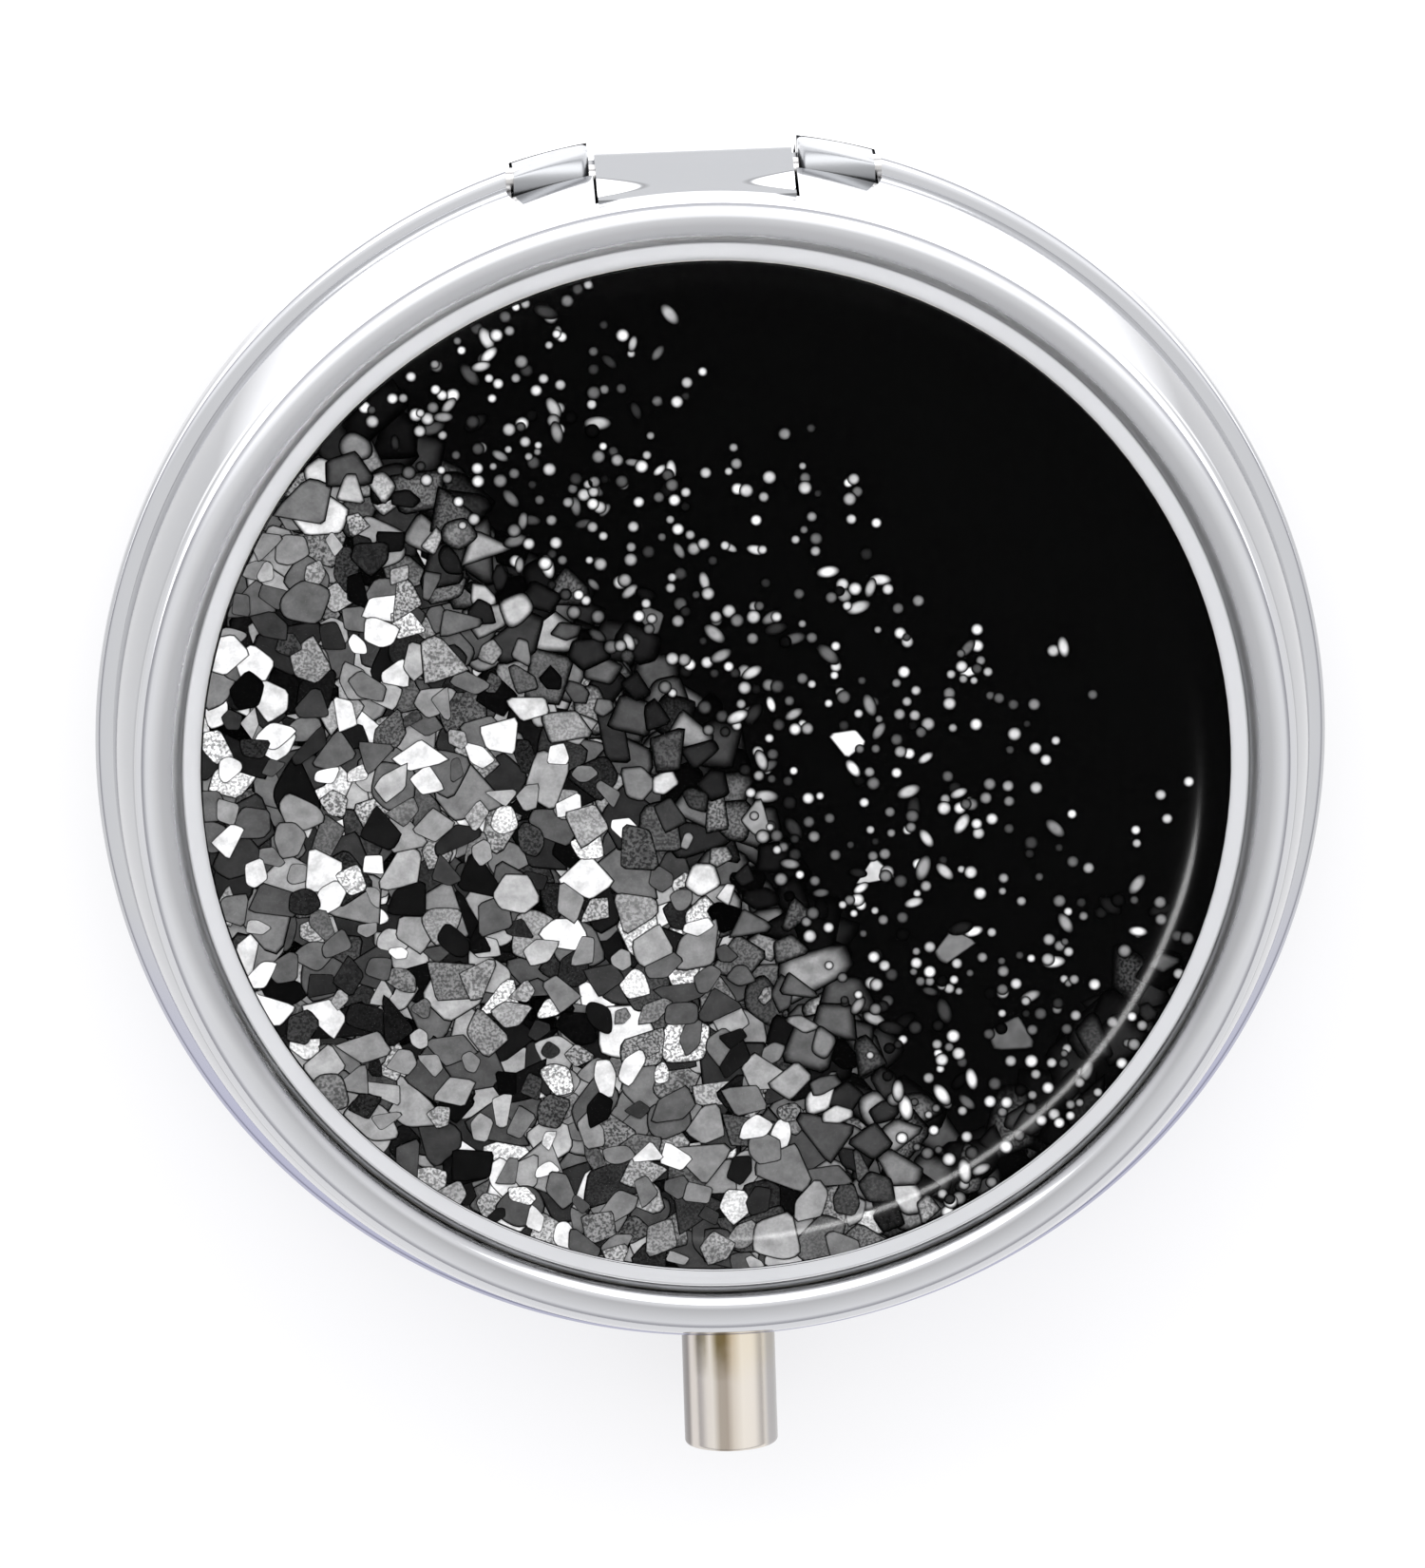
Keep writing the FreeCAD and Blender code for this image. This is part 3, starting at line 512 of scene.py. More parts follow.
squares = [calc(nodes, "POWER", split.outputs[axis], 2.0) for axis in "XY"]
reach = calc(nodes, "SQRT", calc(nodes, "ADD", *squares))
toward_front = add(nodes, "MapRange", interpolation_type="SMOOTHSTEP")
toward_front.inputs["From Min"].default_value = -0.1
toward_front.inputs["From Max"].default_value = -0.9
nodes.links.new(calc(nodes, "DIVIDE", split.outputs["Y"], reach), toward_front.inputs["Value"])
share = calc(nodes, "DIVIDE", reach, case_radius)
on_bead = calc(nodes, "MULTIPLY_ADD", toward_front.outputs["Result"], 0.03, share)
# Painted shading in the lid's colour: the bead's inner flank is darkened to 0.62-0.7 and its crest toward the
# front, a dark line is painted at the bead's outer foot, the wall below it is held at 0.8, and the flat panel is
# painted brighter at 1.08.
painted_shading = ramp(
    nodes,
    on_bead,
    (0.0, 0.8),
    (bead_inner / case_radius + 0.012, 0.62),
    (bead_centre / case_radius - 0.004, 0.7),
    (bead_centre / case_radius + 0.014, 1.0),
)
panel = ramp(nodes, share, (bead_inner / case_radius - 0.003, 1.08), (bead_inner / case_radius - 0.001, 0.0))
painted_groove_shade = ramp(
    nodes,
    share,
    (bead_outer / case_radius - 0.004, 1.0),
    (bead_outer / case_radius, 0.75),
    (bead_outer / case_radius + 0.003, 0.8),
)
painted_crest_shade = ramp(nodes, share, (bead_centre / case_radius - 0.01, 0.36), (bead_centre / case_radius + 0.02, 0.0))
dimmed = calc(nodes, "SUBTRACT", 1.0, calc(nodes, "MULTIPLY", painted_crest_shade, toward_front.outputs["Result"]))
painted_shading = calc(nodes, "MULTIPLY", calc(nodes, "MAXIMUM", calc(nodes, "MULTIPLY", painted_shading, dimmed), panel), painted_groove_shade)
shade = add(nodes, "Mix", data_type="RGBA", blend_type="MULTIPLY")
shade.inputs["Factor"].default_value = 1.0
link_all(
    nodes,
    (tinted, shade.inputs["A"]),
    (painted_shading, shade.inputs["B"]),
    (shade.outputs["Result"], shader.inputs["Base Color"]),
)
polish = shader.inputs["Roughness"].links[0].from_socket
flank = ramp(nodes, share, (bead_inner / case_radius + 0.006, 0.3), (bead_inner / case_radius + 0.026, 0.0))
flank = calc(nodes, "MULTIPLY", flank, calc(nodes, "MULTIPLY_ADD", toward_front.outputs["Result"], -0.9, 1.0))
satin = calc(nodes, "MAXIMUM", calc(nodes, "MULTIPLY", panel, 0.32), flank)
nodes.links.new(calc(nodes, "ADD", satin, polish), shader.inputs["Roughness"])
finish_piece(lid_shell, "lid", "bright_chrome", lid_chrome, "lid_shell")


# ---- hinge -------------------------------------------------------------------------------------------
# The lid's leaf is bent from nickel-plated steel: a knuckle on the pin, then a flat plate that stands in a
# notch of the lid's wall, with a small facet at each upper corner. The base's leaf is satin nickel: two round
# ears rolled about the pin, each with a strip behind the rim.

knuckle_radius = 0.95 * MM
leaf_half = 4.0 * MM
leaf_sheet = 0.5 * MM
plate_lean = 13.66
leaf_top = ceiling + 0.22 * MM
flange_start = 21.03 * MM
facet_z = panel_z - 1.5 * MM
facet_depth = 0.1 * MM
facet_climb = 0.29 / MM
facet_spread = 47.6 * MM
lean_out, lean_up = cos(radians(plate_lean)), sin(radians(plate_lean))
touch = np.array((hinge_y + knuckle_radius * lean_out, hinge_z + knuckle_radius * lean_up))
plate_rise = np.linspace(touch[1], leaf_top, 90)
plate_out = touch[0] - (plate_rise - touch[1]) * tan(radians(plate_lean))
curl = arc((hinge_y, hinge_z), knuckle_radius, 75, 360 + plate_lean, 48)
under_flange = ceiling - leaf_sheet
leaf_line = np.vstack(
    (
        curl[:-1],
        np.column_stack((plate_out, plate_rise)),
        [(flange_start, leaf_top), (flange_start, under_flange)],
        [(plate_out[-1] - leaf_sheet, under_flange), (plate_out[0] - leaf_sheet * 1.2, touch[1] + 1.2 * MM)],
    )
)
stations = np.linspace(-leaf_half, leaf_half, 97)
y = leaf_line[:, 0][None, :] + 0 * stations[:, None]
z = leaf_line[:, 1][None, :] + 0 * stations[:, None]
x = stations[:, None] + 0 * y
face = np.zeros(len(leaf_line), bool)
face[len(curl) - 1 : len(curl) - 1 + len(plate_rise)] = True
facet = facet_depth + facet_climb * (z - facet_z) ** 2 - x**2 / facet_spread
y = y + np.where(face[None, :], np.minimum(facet, 0), 0)
points = np.stack((x, y, z), axis=-1).reshape(-1, 3)
columns = len(leaf_line)
sides = grid_faces(len(stations), columns, wrap_columns=True)
first_end = np.arange(columns)[None, :]
last_end = (len(stations) - 1) * columns + np.arange(columns)[::-1][None, :]
lid_leaf = piece_from("lid_leaf_skin", points, [sides[:, ::-1], first_end, last_end], sharp=25)
depth = np.where(face[None, :], np.clip(0.5 + facet / (0.4 * MM), 0, 1), 1.0)
lid_leaf.data.attributes.new("facet", "FLOAT", "POINT").data.foreach_set("value", depth.ravel().astype(np.float32))
leaf_nickel, nodes, shader, tinted, place = plated_metal("leaf_nickel", (0.215, 0.22, 0.228), roughness=0.16)
# Painted highlight and shade: where the plate is dented into its facets its colour is painted near white, 0.85,
# for the light they catch, with a dark line painted along each facet's edge.
dent = add(nodes, "Attribute", attribute_name="facet").outputs["Fac"]
painted_facet_highlight = add(nodes, "Mix", data_type="RGBA")
painted_facet_highlight.inputs["B"].default_value = (0.85, 0.85, 0.86, 1)
facet_edge_shade = add(nodes, "Mix", data_type="RGBA", blend_type="MULTIPLY")
facet_edge_shade.inputs["Factor"].default_value = 1.0
link_all(
    nodes,
    (ramp(nodes, dent, (0.42, 1.0), (0.5, 0.0)), painted_facet_highlight.inputs["Factor"]),
    (tinted, painted_facet_highlight.inputs["A"]),
    (painted_facet_highlight.outputs["Result"], facet_edge_shade.inputs["A"]),
    (ramp(nodes, dent, (0.48, 1.0), (0.52, 0.55), (0.58, 1.0)), facet_edge_shade.inputs["B"]),
    (facet_edge_shade.outputs["Result"], shader.inputs["Base Color"]),
)
finish_piece(lid_leaf, "lid", "bright_chrome", leaf_nickel, "lid_hinge_leaf")

nickel = plated_metal("satin_nickel", (0.3, 0.306, 0.316), roughness=0.34)[0]
ear_reach = 7.3 * MM
ear_nose = 0.3 * MM
ear_stretch = 0.45
ear_sides = 96
strip_outer = case_radius - 2 * hem
strip_foot = 4.0 * MM
strip_stations = 12
trim_softness = 0.05 * MM


def hinge_ear(side):
    """A bar along X whose section is a circle about the pin, drawn out by up to 45 % between straight back and
    straight down to close the gap over the rim, then pressed back to the case's round by a soft minimum,
    y = limit - w ln(1 + e^((limit - y)/w)). Its nose is rounded by a quarter-ellipse in radius."""
    length = ear_reach - seat_half
    nose = np.linspace(0, 1, 9) ** 2 * ear_nose
    body = np.linspace(ear_nose, length, 26)[1:-1]
    steps = np.unique(np.round(np.concatenate((nose, body, [length - 0.1 * MM, length])), 8))
    x = seat_half + steps
    near = np.minimum(steps / ear_nose, 1)
    size = ear_radius * np.sqrt(1 - ear_stretch * (1 - near) ** 2)
    turn = np.linspace(0, 2 * pi, ear_sides, endpoint=False)
    foot = np.where((np.cos(turn) > 0) & (np.sin(turn) < 0), np.clip(-1.1 * np.sin(2 * turn), 0, 1), 0)
    size = size[:, None] * (1 + ear_stretch * foot)
    y = hinge_y + size * np.cos(turn)
    z = hinge_z + size * np.sin(turn)
    limit = np.sqrt((case_radius - 0.02 * MM) ** 2 - x**2)[:, None]
    y = limit - trim_softness * np.logaddexp(0, (limit - y) / trim_softness)
    points = np.stack((side * x[:, None] + 0 * y, y, z), axis=-1).reshape(-1, 3)
    sides = grid_faces(len(x), ear_sides, wrap_columns=True)
    first = np.arange(ear_sides)[::-1][None, :]
    last = (len(x) - 1) * ear_sides + np.arange(ear_sides)[None, :]
    faces = [sides, first, last] if side < 0 else [sides[:, ::-1], first[:, ::-1], last[:, ::-1]]
    return points, faces


def hinge_strip(side):
    """A curved strip behind the rim under each ear: a rectangle in (r, z) swept about the upright axis."""
    inner = strip_outer - sheet
    turn = np.linspace(np.arcsin(seat_half / inner), np.arcsin(ear_reach / inner), strip_stations)[:, None]
    r = np.array((inner, strip_outer, strip_outer, inner))[None, :]
    z = np.array((strip_foot, strip_foot, hinge_z, hinge_z))[None, :] + 0 * turn
    points = np.stack((side * r * np.sin(turn), r * np.cos(turn), z), axis=-1).reshape(-1, 3)
    sides = grid_faces(strip_stations, 4, wrap_columns=True)
    first = np.array([[3, 2, 1, 0]])
    last = (strip_stations - 1) * 4 + np.array([[0, 1, 2, 3]])
    faces = [sides, first, last] if side < 0 else [sides[:, ::-1], first[:, ::-1], last[:, ::-1]]
    return points, faces


points, faces = np.zeros((0, 3)), []
for make in (hinge_ear, hinge_strip):
    for side in (-1, 1):
        more_points, more_faces = make(side)
        faces += [group + len(points) for group in more_faces]
        points = np.vstack((points, more_points))
ears = piece_from("hinge_ears", points, faces, sharp=40)
finish_piece(ears, "base", "bright_chrome", nickel, "base_hinge_leaf")


# ---- printed film ------------------------------------------------------------------------------------
# A black film printed with a heap of glitter: angular chips crowd the lower left, fade at the heap's edge,
# and small soft dots thin out toward the upper right. Each chip is a flat patch of ink of its own grey.

film_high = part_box("decal_print")[1]
film_radius = film_high.x
ink = film_high.z
ink_step = 0.00025
ink_levels = 240
chip_rim = 26
dot_rim = 18
most_sides = 6
widest = 1.7
far_side = 13.8
strip_inner = 18.9
rng = np.random.default_rng(7)


def heap_edge(u):
    """Where the heap ends across the diagonal v, for a distance u along it, in millimetres: level at first, and
    0.38 lower for each millimetre past u = -1."""
    return 0.6 - 0.38 * np.maximum(u + 1, 0)


def chip_outlines(count, size, sides, corners, rim):
    """Outlines as radii over rim angles. Each is where a soft maximum of its sides' reach equals one, the
    sides being lines at uneven angles and distances; a high power keeps the corners crisp."""
    spin = rng.uniform(0, 2 * pi, (count, 1))
    number = np.arange(most_sides)[None, :]
    turn = 2 * pi * (number + rng.uniform(-0.25, 0.25, (count, most_sides))) / sides[:, None]
    far = rng.uniform(0.7, 1.15, (count, most_sides))
    used = number < sides[:, None]
    angle = np.linspace(0, 2 * pi, rim, endpoint=False)[None, :, None]
    reach = np.maximum(np.cos(angle - turn[:, None, :]), 0) / far[:, None, :] * used[:, None, :]
    radius = (reach ** corners[:, None, None]).sum(axis=2) ** (-1 / corners[:, None])
    radius = np.minimum(radius, widest)
    angle = angle[:, :, 0]
    slim = rng.uniform(0.55, 1.0, (count, 1))
    x, y = radius * np.cos(angle), radius * np.sin(angle) * slim
    out_x = size[:, None] * (x * np.cos(spin) - y * np.sin(spin))
    out_y = size[:, None] * (x * np.sin(spin) + y * np.cos(spin))
    return out_x, out_y


def patches(centre, out_x, out_y, grey, soft, grain, first_z):
    """Fans of triangles, one per patch, each a hair above the last. Returns points, faces and attributes:
    the patch's grey, how near its middle a point lies, how soft its edge is and how grainy it is."""
    count, rim = out_x.shape
    level = first_z + ink_step * (np.arange(count) % ink_levels)
    points = np.zeros((count, rim + 1, 3))
    points[:, 0, :2] = centre
    points[:, 1:, 0] = centre[:, :1] + out_x
    points[:, 1:, 1] = centre[:, 1:] + out_y
    points[:, :, 2] = level[:, None]
    flat_reach = np.hypot(points[:, :, 0], points[:, :, 1])
    limit = film_radius / MM - 0.05
    points[:, :, :2] *= np.minimum(1, limit / np.maximum(flat_reach, 1e-9))[:, :, None]
    base = (np.arange(count) * (rim + 1))[:, None]
    here = np.arange(rim)[None, :]
    faces = np.stack((base + 0 * here, base + 1 + here, base + 1 + (here + 1) % rim), axis=-1).reshape(-1, 3)
    middle = np.zeros((count, rim + 1))
    middle[:, 0] = 1
    spread = [np.repeat(value[:, None], rim + 1, axis=1).ravel() for value in (grey, soft, grain)]
    return points.reshape(-1, 3), faces, spread[0], middle.ravel(), spread[1], spread[2]


def scatter(count, pick, spacing):
    """Random centres inside the film that pass a test, kept apart by about the spacing."""
    spot = rng.uniform(-film_radius / MM, film_radius / MM, (count * 8, 2))
    spot = spot[np.hypot(spot[:, 0], spot[:, 1]) < film_radius / MM - 0.1]
    u, v = (spot[:, 0] - spot[:, 1]) / sqrt(2), (spot[:, 0] + spot[:, 1]) / sqrt(2)
    spot = spot[pick(u, v, spot)]
    kept = np.zeros((0, 2))
    for candidate in spot:
        if len(kept) >= count:
            break
        if not len(kept) or np.min(((kept - candidate) ** 2).sum(axis=1)) > spacing**2:
            kept = np.vstack((kept, candidate))
    return kept


def diagonal(spot):
    """Distance along and across the heap's diagonal."""
    return (spot[:, 0] - spot[:, 1]) / sqrt(2), (spot[:, 0] + spot[:, 1]) / sqrt(2)


def inside_heap(margin):
    """A test for centres that lie inside the heap, or in the strip of chips that runs on along the rim."""

    def test(u, v, spot):
        edge = heap_edge(u) + margin + rng.normal(0, 0.5, len(u))
        near_rim = np.hypot(spot[:, 0], spot[:, 1]) > strip_inner
        rim_strip = near_rim & (v < 6.5) & (u > 4) & (rng.random(len(u)) < 0.5)
        return (v < edge) | rim_strip

    return test


def greys(count, low, high, white, black):
    """Mostly middling greys, with a share of nearly white and of nearly black chips."""
    grey = low + (high - low) * rng.random(count) ** 1.7
    pick = rng.random(count)
    grey = np.where(pick < white, rng.uniform(0.75, 1.0, count), grey)
    return np.where(pick > 1 - black, rng.uniform(0.0, 0.012, count), grey)


layers = []
low_z = ink / MM + 0.003
for layer, (count, spacing, small, large, white, black) in enumerate(
    ((800, 0.7, 0.85, 1.4, 0.08, 0.12), (620, 0.85, 0.65, 1.2, 0.11, 0.13), (400, 0.95, 0.4, 0.9, 0.2, 0.09))
):
    centre = scatter(count, inside_heap(0.2 if layer < 2 else -0.4), spacing)
    count = len(centre)
    u, v = diagonal(centre)
    depth = np.clip((heap_edge(u) + 0.8 - v) / 5.5, 0, 1)
    size = rng.uniform(small, large, count)
    sides = rng.choice((3, 4, 4, 5, 5, 6), count)
    corners = rng.uniform(4, 26, count)
    out_x, out_y = chip_outlines(count, size, sides, corners, chip_rim)
    grey = greys(count, 0.02, 0.5, white, black) * (0.12 + 0.88 * depth**0.8)
    soft = np.clip(0.5 - 0.5 * depth, 0.02, 0.5)
    grain = np.where(rng.random(count) < 0.3, rng.uniform(0.4, 1.0, count), 0.1)
    layers.append(patches(centre, out_x, out_y, grey, soft, grain, low_z + 0.06 * layer))


def among_dots(u, v, spot):
    """A test that keeps dots outside the heap and thins them out toward the far side."""
    edge = heap_edge(u)
    far = (v - edge) / (far_side - edge)
    return (v > edge + 0.1) & (rng.random(len(u)) > np.clip(far, 0, 1.2) ** 1.2)


centre = scatter(540, among_dots, 0.36)
pair = centre[rng.random(len(centre)) < 0.22]
pair = pair + rng.normal(0, 0.3, pair.shape)
centre = np.vstack((centre, pair))
count = len(centre)
size = rng.uniform(0.17, 0.31, (count, 1))
spin = rng.uniform(0, pi, (count, 1))
around = np.linspace(0, 2 * pi, dot_rim, endpoint=False)[None, :]
long_x = size * np.where(rng.random((count, 1)) < 0.15, 1.9, 1.0) * np.cos(around)
long_y = size * np.sin(around)
out_x = long_x * np.cos(spin) - long_y * np.sin(spin)
out_y = long_x * np.sin(spin) + long_y * np.cos(spin)
grey = rng.uniform(0.02, 1.0, count) ** 1.6
layers.append(patches(centre, out_x, out_y, grey, np.full(count, 0.6), 0 * grey, low_z + 0.18))

lone = np.array([(5.4, 0.9), (6.2, -4.6), (-2.4, 6.2), (1.6, -2.3), (9.5, -7.6), (11.7, -11.5)])
lone_sides = np.array((4, 3, 5, 4, 3, 3))
lone_grey = np.array((1.0, 0.6, 0.1, 0.3, 0.2, 0.12))
each = np.ones(len(lone))
out_x, out_y = chip_outlines(len(lone), 0.62 * each, lone_sides, 12.0 * each, chip_rim)
layers.append(patches(lone, out_x, out_y, lone_grey, 0.12 * each, 0 * each, low_z + 0.19))

starts = np.cumsum([0] + [len(layer[0]) for layer in layers])
points = np.vstack([layer[0] for layer in layers]) * MM
faces = np.vstack([layer[1] + start for layer, start in zip(layers, starts)])
chips = piece_from("glitter_print", points, [faces])
for name, column in (("grey", 2), ("middle", 3), ("soft", 4), ("grain", 5)):
    values = np.concatenate([layer[column] for layer in layers]).astype(np.float32)
    chips.data.attributes.new(name, "FLOAT", "POINT").data.foreach_set("value", values)

chip_ink, nodes, shader = new_material("glitter_ink")
grey, middle, soft, grain = (
    add(nodes, "Attribute", attribute_name=name).outputs["Fac"] for name in ("grey", "middle", "soft", "grain")
)
place = add(nodes, "TexCoord").outputs["Object"]
speckle = add(nodes, "TexNoise", Scale=9000.0, Detail=2.0)
patchy = add(nodes, "TexNoise", Scale=1500.0, Detail=2.0)
link_all(nodes, (place, speckle.inputs["Vector"]), (place, patchy.inputs["Vector"]))
edge = add(nodes, "MapRange", interpolation_type="SMOOTHSTEP")
edge.inputs["From Min"].default_value = 0.02
link_all(nodes, (middle, edge.inputs["Value"]), (calc(nodes, "ADD", soft, 0.1), edge.inputs["From Max"]))
spots = ramp(nodes, speckle.outputs["Fac"], (0.42, 0.25), (0.58, 1.25))
blotches = ramp(nodes, patchy.outputs["Fac"], (0.3, 0.75), (0.7, 1.2))
grainy = add(nodes, "Mix", data_type="FLOAT")
link_all(nodes, (grain, grainy.inputs["Factor"]), (spots, grainy.inputs["B"]))
grainy.inputs["A"].default_value = 1.0
value = calc(nodes, "MULTIPLY", calc(nodes, "MULTIPLY", grey, blotches), grainy.outputs["Result"])
value = calc(nodes, "MULTIPLY", value, edge.outputs["Result"])
nodes.links.new(calc(nodes, "MULTIPLY", value, 0.82), shader.inputs["Base Color"])
shader.inputs["Roughness"].default_value = 0.6
shader.inputs["Specular IOR Level"].default_value = 0.0
chips.data.materials.append(chip_ink)
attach(chips, "lid")

black_ink, nodes, shader = new_material("black_ink")
fibre = add(nodes, "TexNoise", Scale=4000.0)
nodes.links.new(add(nodes, "TexCoord").outputs["Object"], fibre.inputs["Vector"])
nodes.links.new(ramp(nodes, fibre.outputs["Fac"], (0.3, 0.0005), (0.7, 0.0015)), shader.inputs["Base Color"])
shader.inputs["Roughness"].default_value = 0.6
shader.inputs["Specular IOR Level"].default_value = 0.0
frame["nodes"]["decal_print"].material_slots[0].material = black_ink


# ---- clear dome --------------------------------------------------------------------------------------
# Clear polyurethane resin poured over the film, which swells to a low dome with a rounded shoulder. It cures
# where it is poured and needs no other fixing.

dome_low, dome_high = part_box("decal_dome")
dome_foot = ink + 0.22 * MM
dome_edge = dome_low.z + 0.3 * MM
shoulder_width = 2.2 * MM
shoulder_drop = 0.7 * MM
shoulder = film_radius - shoulder_width
shoulder_z = dome_edge + shoulder_drop
round_radius = (shoulder_width**2 + shoulder_drop**2) / (2 * shoulder_drop)
crown_radius = (shoulder**2 + (dome_high.z - shoulder_z) ** 2) / (2 * (dome_high.z - shoulder_z))
edge_turn = np.degrees(np.arccos((film_radius - shoulder) / round_radius))
crown_turn = np.degrees(np.arccos(shoulder / crown_radius))
dome_outline = np.vstack(
    (
        [(0, dome_foot), (film_radius, dome_foot), (film_radius, dome_edge)],
        arc((shoulder, shoulder_z - round_radius), round_radius, edge_turn, 90, 28)[1:-1],
        arc((0, dome_high.z - crown_radius), crown_radius, crown_turn, 90, 40),
    )
)
dome_outline[-1, 0] = 0
dome = turned("dome_skin", dome_outline, turns=256)
resin, nodes, shader = new_material("clear_resin")
nodes.nodes.remove(shader)
clear = add(nodes, "BsdfTransparent")
gloss = add(nodes, "BsdfGlossy", Roughness=0.13)
tilt = add(nodes, "Fresnel", IOR=1.05)
wave = add(nodes, "TexNoise", Scale=120.0)
ripple = add(nodes, "Bump", Strength=0.02, Distance=0.1 * MM)
both = add(nodes, "MixShader")
link_all(
    nodes,
    (add(nodes, "TexCoord").outputs["Object"], wave.inputs["Vector"]),
    (wave.outputs["Fac"], ripple.inputs["Height"]),
    (ripple.outputs[0], gloss.inputs["Normal"]),
    (tilt.outputs[0], both.inputs[0]),
    (clear.outputs[0], both.inputs[1]),
    (gloss.outputs[0], both.inputs[2]),
    (both.outputs[0], nodes.nodes["Material Output"].inputs["Surface"]),
)
finish_piece(dome, "lid", "clear_resin", resin, "decal_dome")
lit_by_key = bpy.data.collections.new("lit_by_key")
lit_by_key.objects.link(dome)
key.light_linking.receiver_collection = lit_by_key


# ---- button ------------------------------------------------------------------------------------------
# A cap drawn from sheet and plated in warm brushed nickel, with a softly bevelled end and a closed head inside.
# It sits on the latch's stem and slides through the hole in the base's wall.

button_tip = -button_low.y
button_back = -button_high.y
cap_length = button_tip - button_back
cap_wall = 0.45 * MM
bevel = 0.2 * MM
swell = 0.2 * MM
crown = ((button_radius - bevel) ** 2 + swell**2) / (2 * swell)
end_turn = np.degrees(np.arccos((button_radius - bevel) / crown))
cap_outline = np.vstack(
    (
        [(0, cap_length - cap_wall), (button_radius - cap_wall, cap_length - cap_wall)],
        [(button_radius - cap_wall, 0), (button_radius - 0.05 * MM, 0), (button_radius, 0.05 * MM)],
        arc((button_radius - bevel, cap_length - swell - bevel), bevel, 0, 85, 12),
        arc((0, cap_length - crown), crown, end_turn, 90, 16),
    )
)
cap_outline[-1, 0] = 0
cap = turned("button_skin", cap_outline, turns=160)
points = np.zeros(len(cap.data.vertices) * 3)
cap.data.vertices.foreach_get("co", points)
x, y, z = points.reshape(-1, 3).T
cap.data.vertices.foreach_set("co", np.column_stack((x, -button_back - z, button_z + y)).ravel())
cap.data.update()
warm, nodes, shader, tinted, place = plated_metal("warm_nickel", (0.68, 0.655, 0.62), roughness=0.2)
split = add(nodes, "SeparateXYZ")
nodes.links.new(place, split.inputs[0])
across = calc(nodes, "MULTIPLY_ADD", split.outputs["X"], 0.5 / button_radius, 0.5)
# Painted reflections: light and dark bands across the cap's width, the light ones brighter than the plain nickel,
# up to 1.12.
painted_reflection_bands = ramp(
    nodes,
    across,
    (0.0, (0.3, 0.29, 0.3)),
    (0.05, (0.36, 0.34, 0.34)),
    (0.08, (1.0, 0.96, 0.94)),
    (0.3, (1.0, 0.97, 0.93)),
    (0.37, (0.5, 0.45, 0.39)),
    (0.45, (0.48, 0.42, 0.36)),
    (0.52, (0.86, 0.8, 0.73)),
    (0.62, (1.1, 1.06, 1.0)),
    (0.84, (1.12, 1.08, 1.02)),
    (0.9, (0.66, 0.66, 0.69)),
    (1.0, (0.58, 0.58, 0.6)),
)
# Brownish darker bands across the cap's width, laid on toward the case end with an uneven edge.
brown_bands = ramp(
    nodes,
    across,
    (0.1, (1.0, 1.0, 1.0)),
    (0.16, (0.4, 0.37, 0.27)),
    (0.23, (0.4, 0.37, 0.27)),
    (0.28, (1.0, 0.98, 0.93)),
    (0.36, (0.35, 0.29, 0.12)),
    (0.44, (0.38, 0.3, 0.1)),
    (0.52, (0.85, 0.77, 0.6)),
    (0.62, (1.0, 0.97, 0.88)),
)
along = calc(nodes, "DIVIDE", calc(nodes, "ADD", split.outputs["Y"], button_tip), cap_length)
wander = add(nodes, "TexNoise", Scale=900.0, Detail=3.0)
nodes.links.new(place, wander.inputs["Vector"])
near_case = calc(nodes, "MULTIPLY_ADD", wander.outputs["Fac"], 0.25, calc(nodes, "SUBTRACT", along, 0.125))
brown_near_case = ramp(nodes, near_case, (0.5, 0.0), (0.78, 0.9))
shade = add(nodes, "Mix", data_type="RGBA", blend_type="MULTIPLY")
shade.inputs["Factor"].default_value = 0.9
stain = add(nodes, "Mix", data_type="RGBA", blend_type="MULTIPLY")
link_all(
    nodes,
    (tinted, shade.inputs["A"]),
    (painted_reflection_bands, shade.inputs["B"]),
    (brown_near_case, stain.inputs["Factor"]),
    (shade.outputs["Result"], stain.inputs["A"]),
    (brown_bands, stain.inputs["B"]),
    (stain.outputs["Result"], shader.inputs["Base Color"]),
)
finish_piece(cap, "button", "warm_nickel", warm, "button_cap")


# ---- small steel parts -------------------------------------------------------------------------------
# The hinge pin, the latch's parts and the return spring, all bright steel. The spring is wound from quarter
# millimetre wire with closed ends, and is squeezed toward the middle as the button goes in.

steel = plated_metal("steel", (0.55, 0.54, 0.53), roughness=0.25)[0]
for node in ("hinge_pin", "latch_bracket", "lid_catch", "button_stem", "latch_catch", "retaining_clip"):
    frame["nodes"][node].material_slots[0].material = steel

spring_low, spring_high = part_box("return_spring")
wire_radius = 0.125 * MM
coil_radius = 1.15 * MM
coil_turns = 3.5
closed_share = 0.16
wire_stations = 169
wire_sides = 10


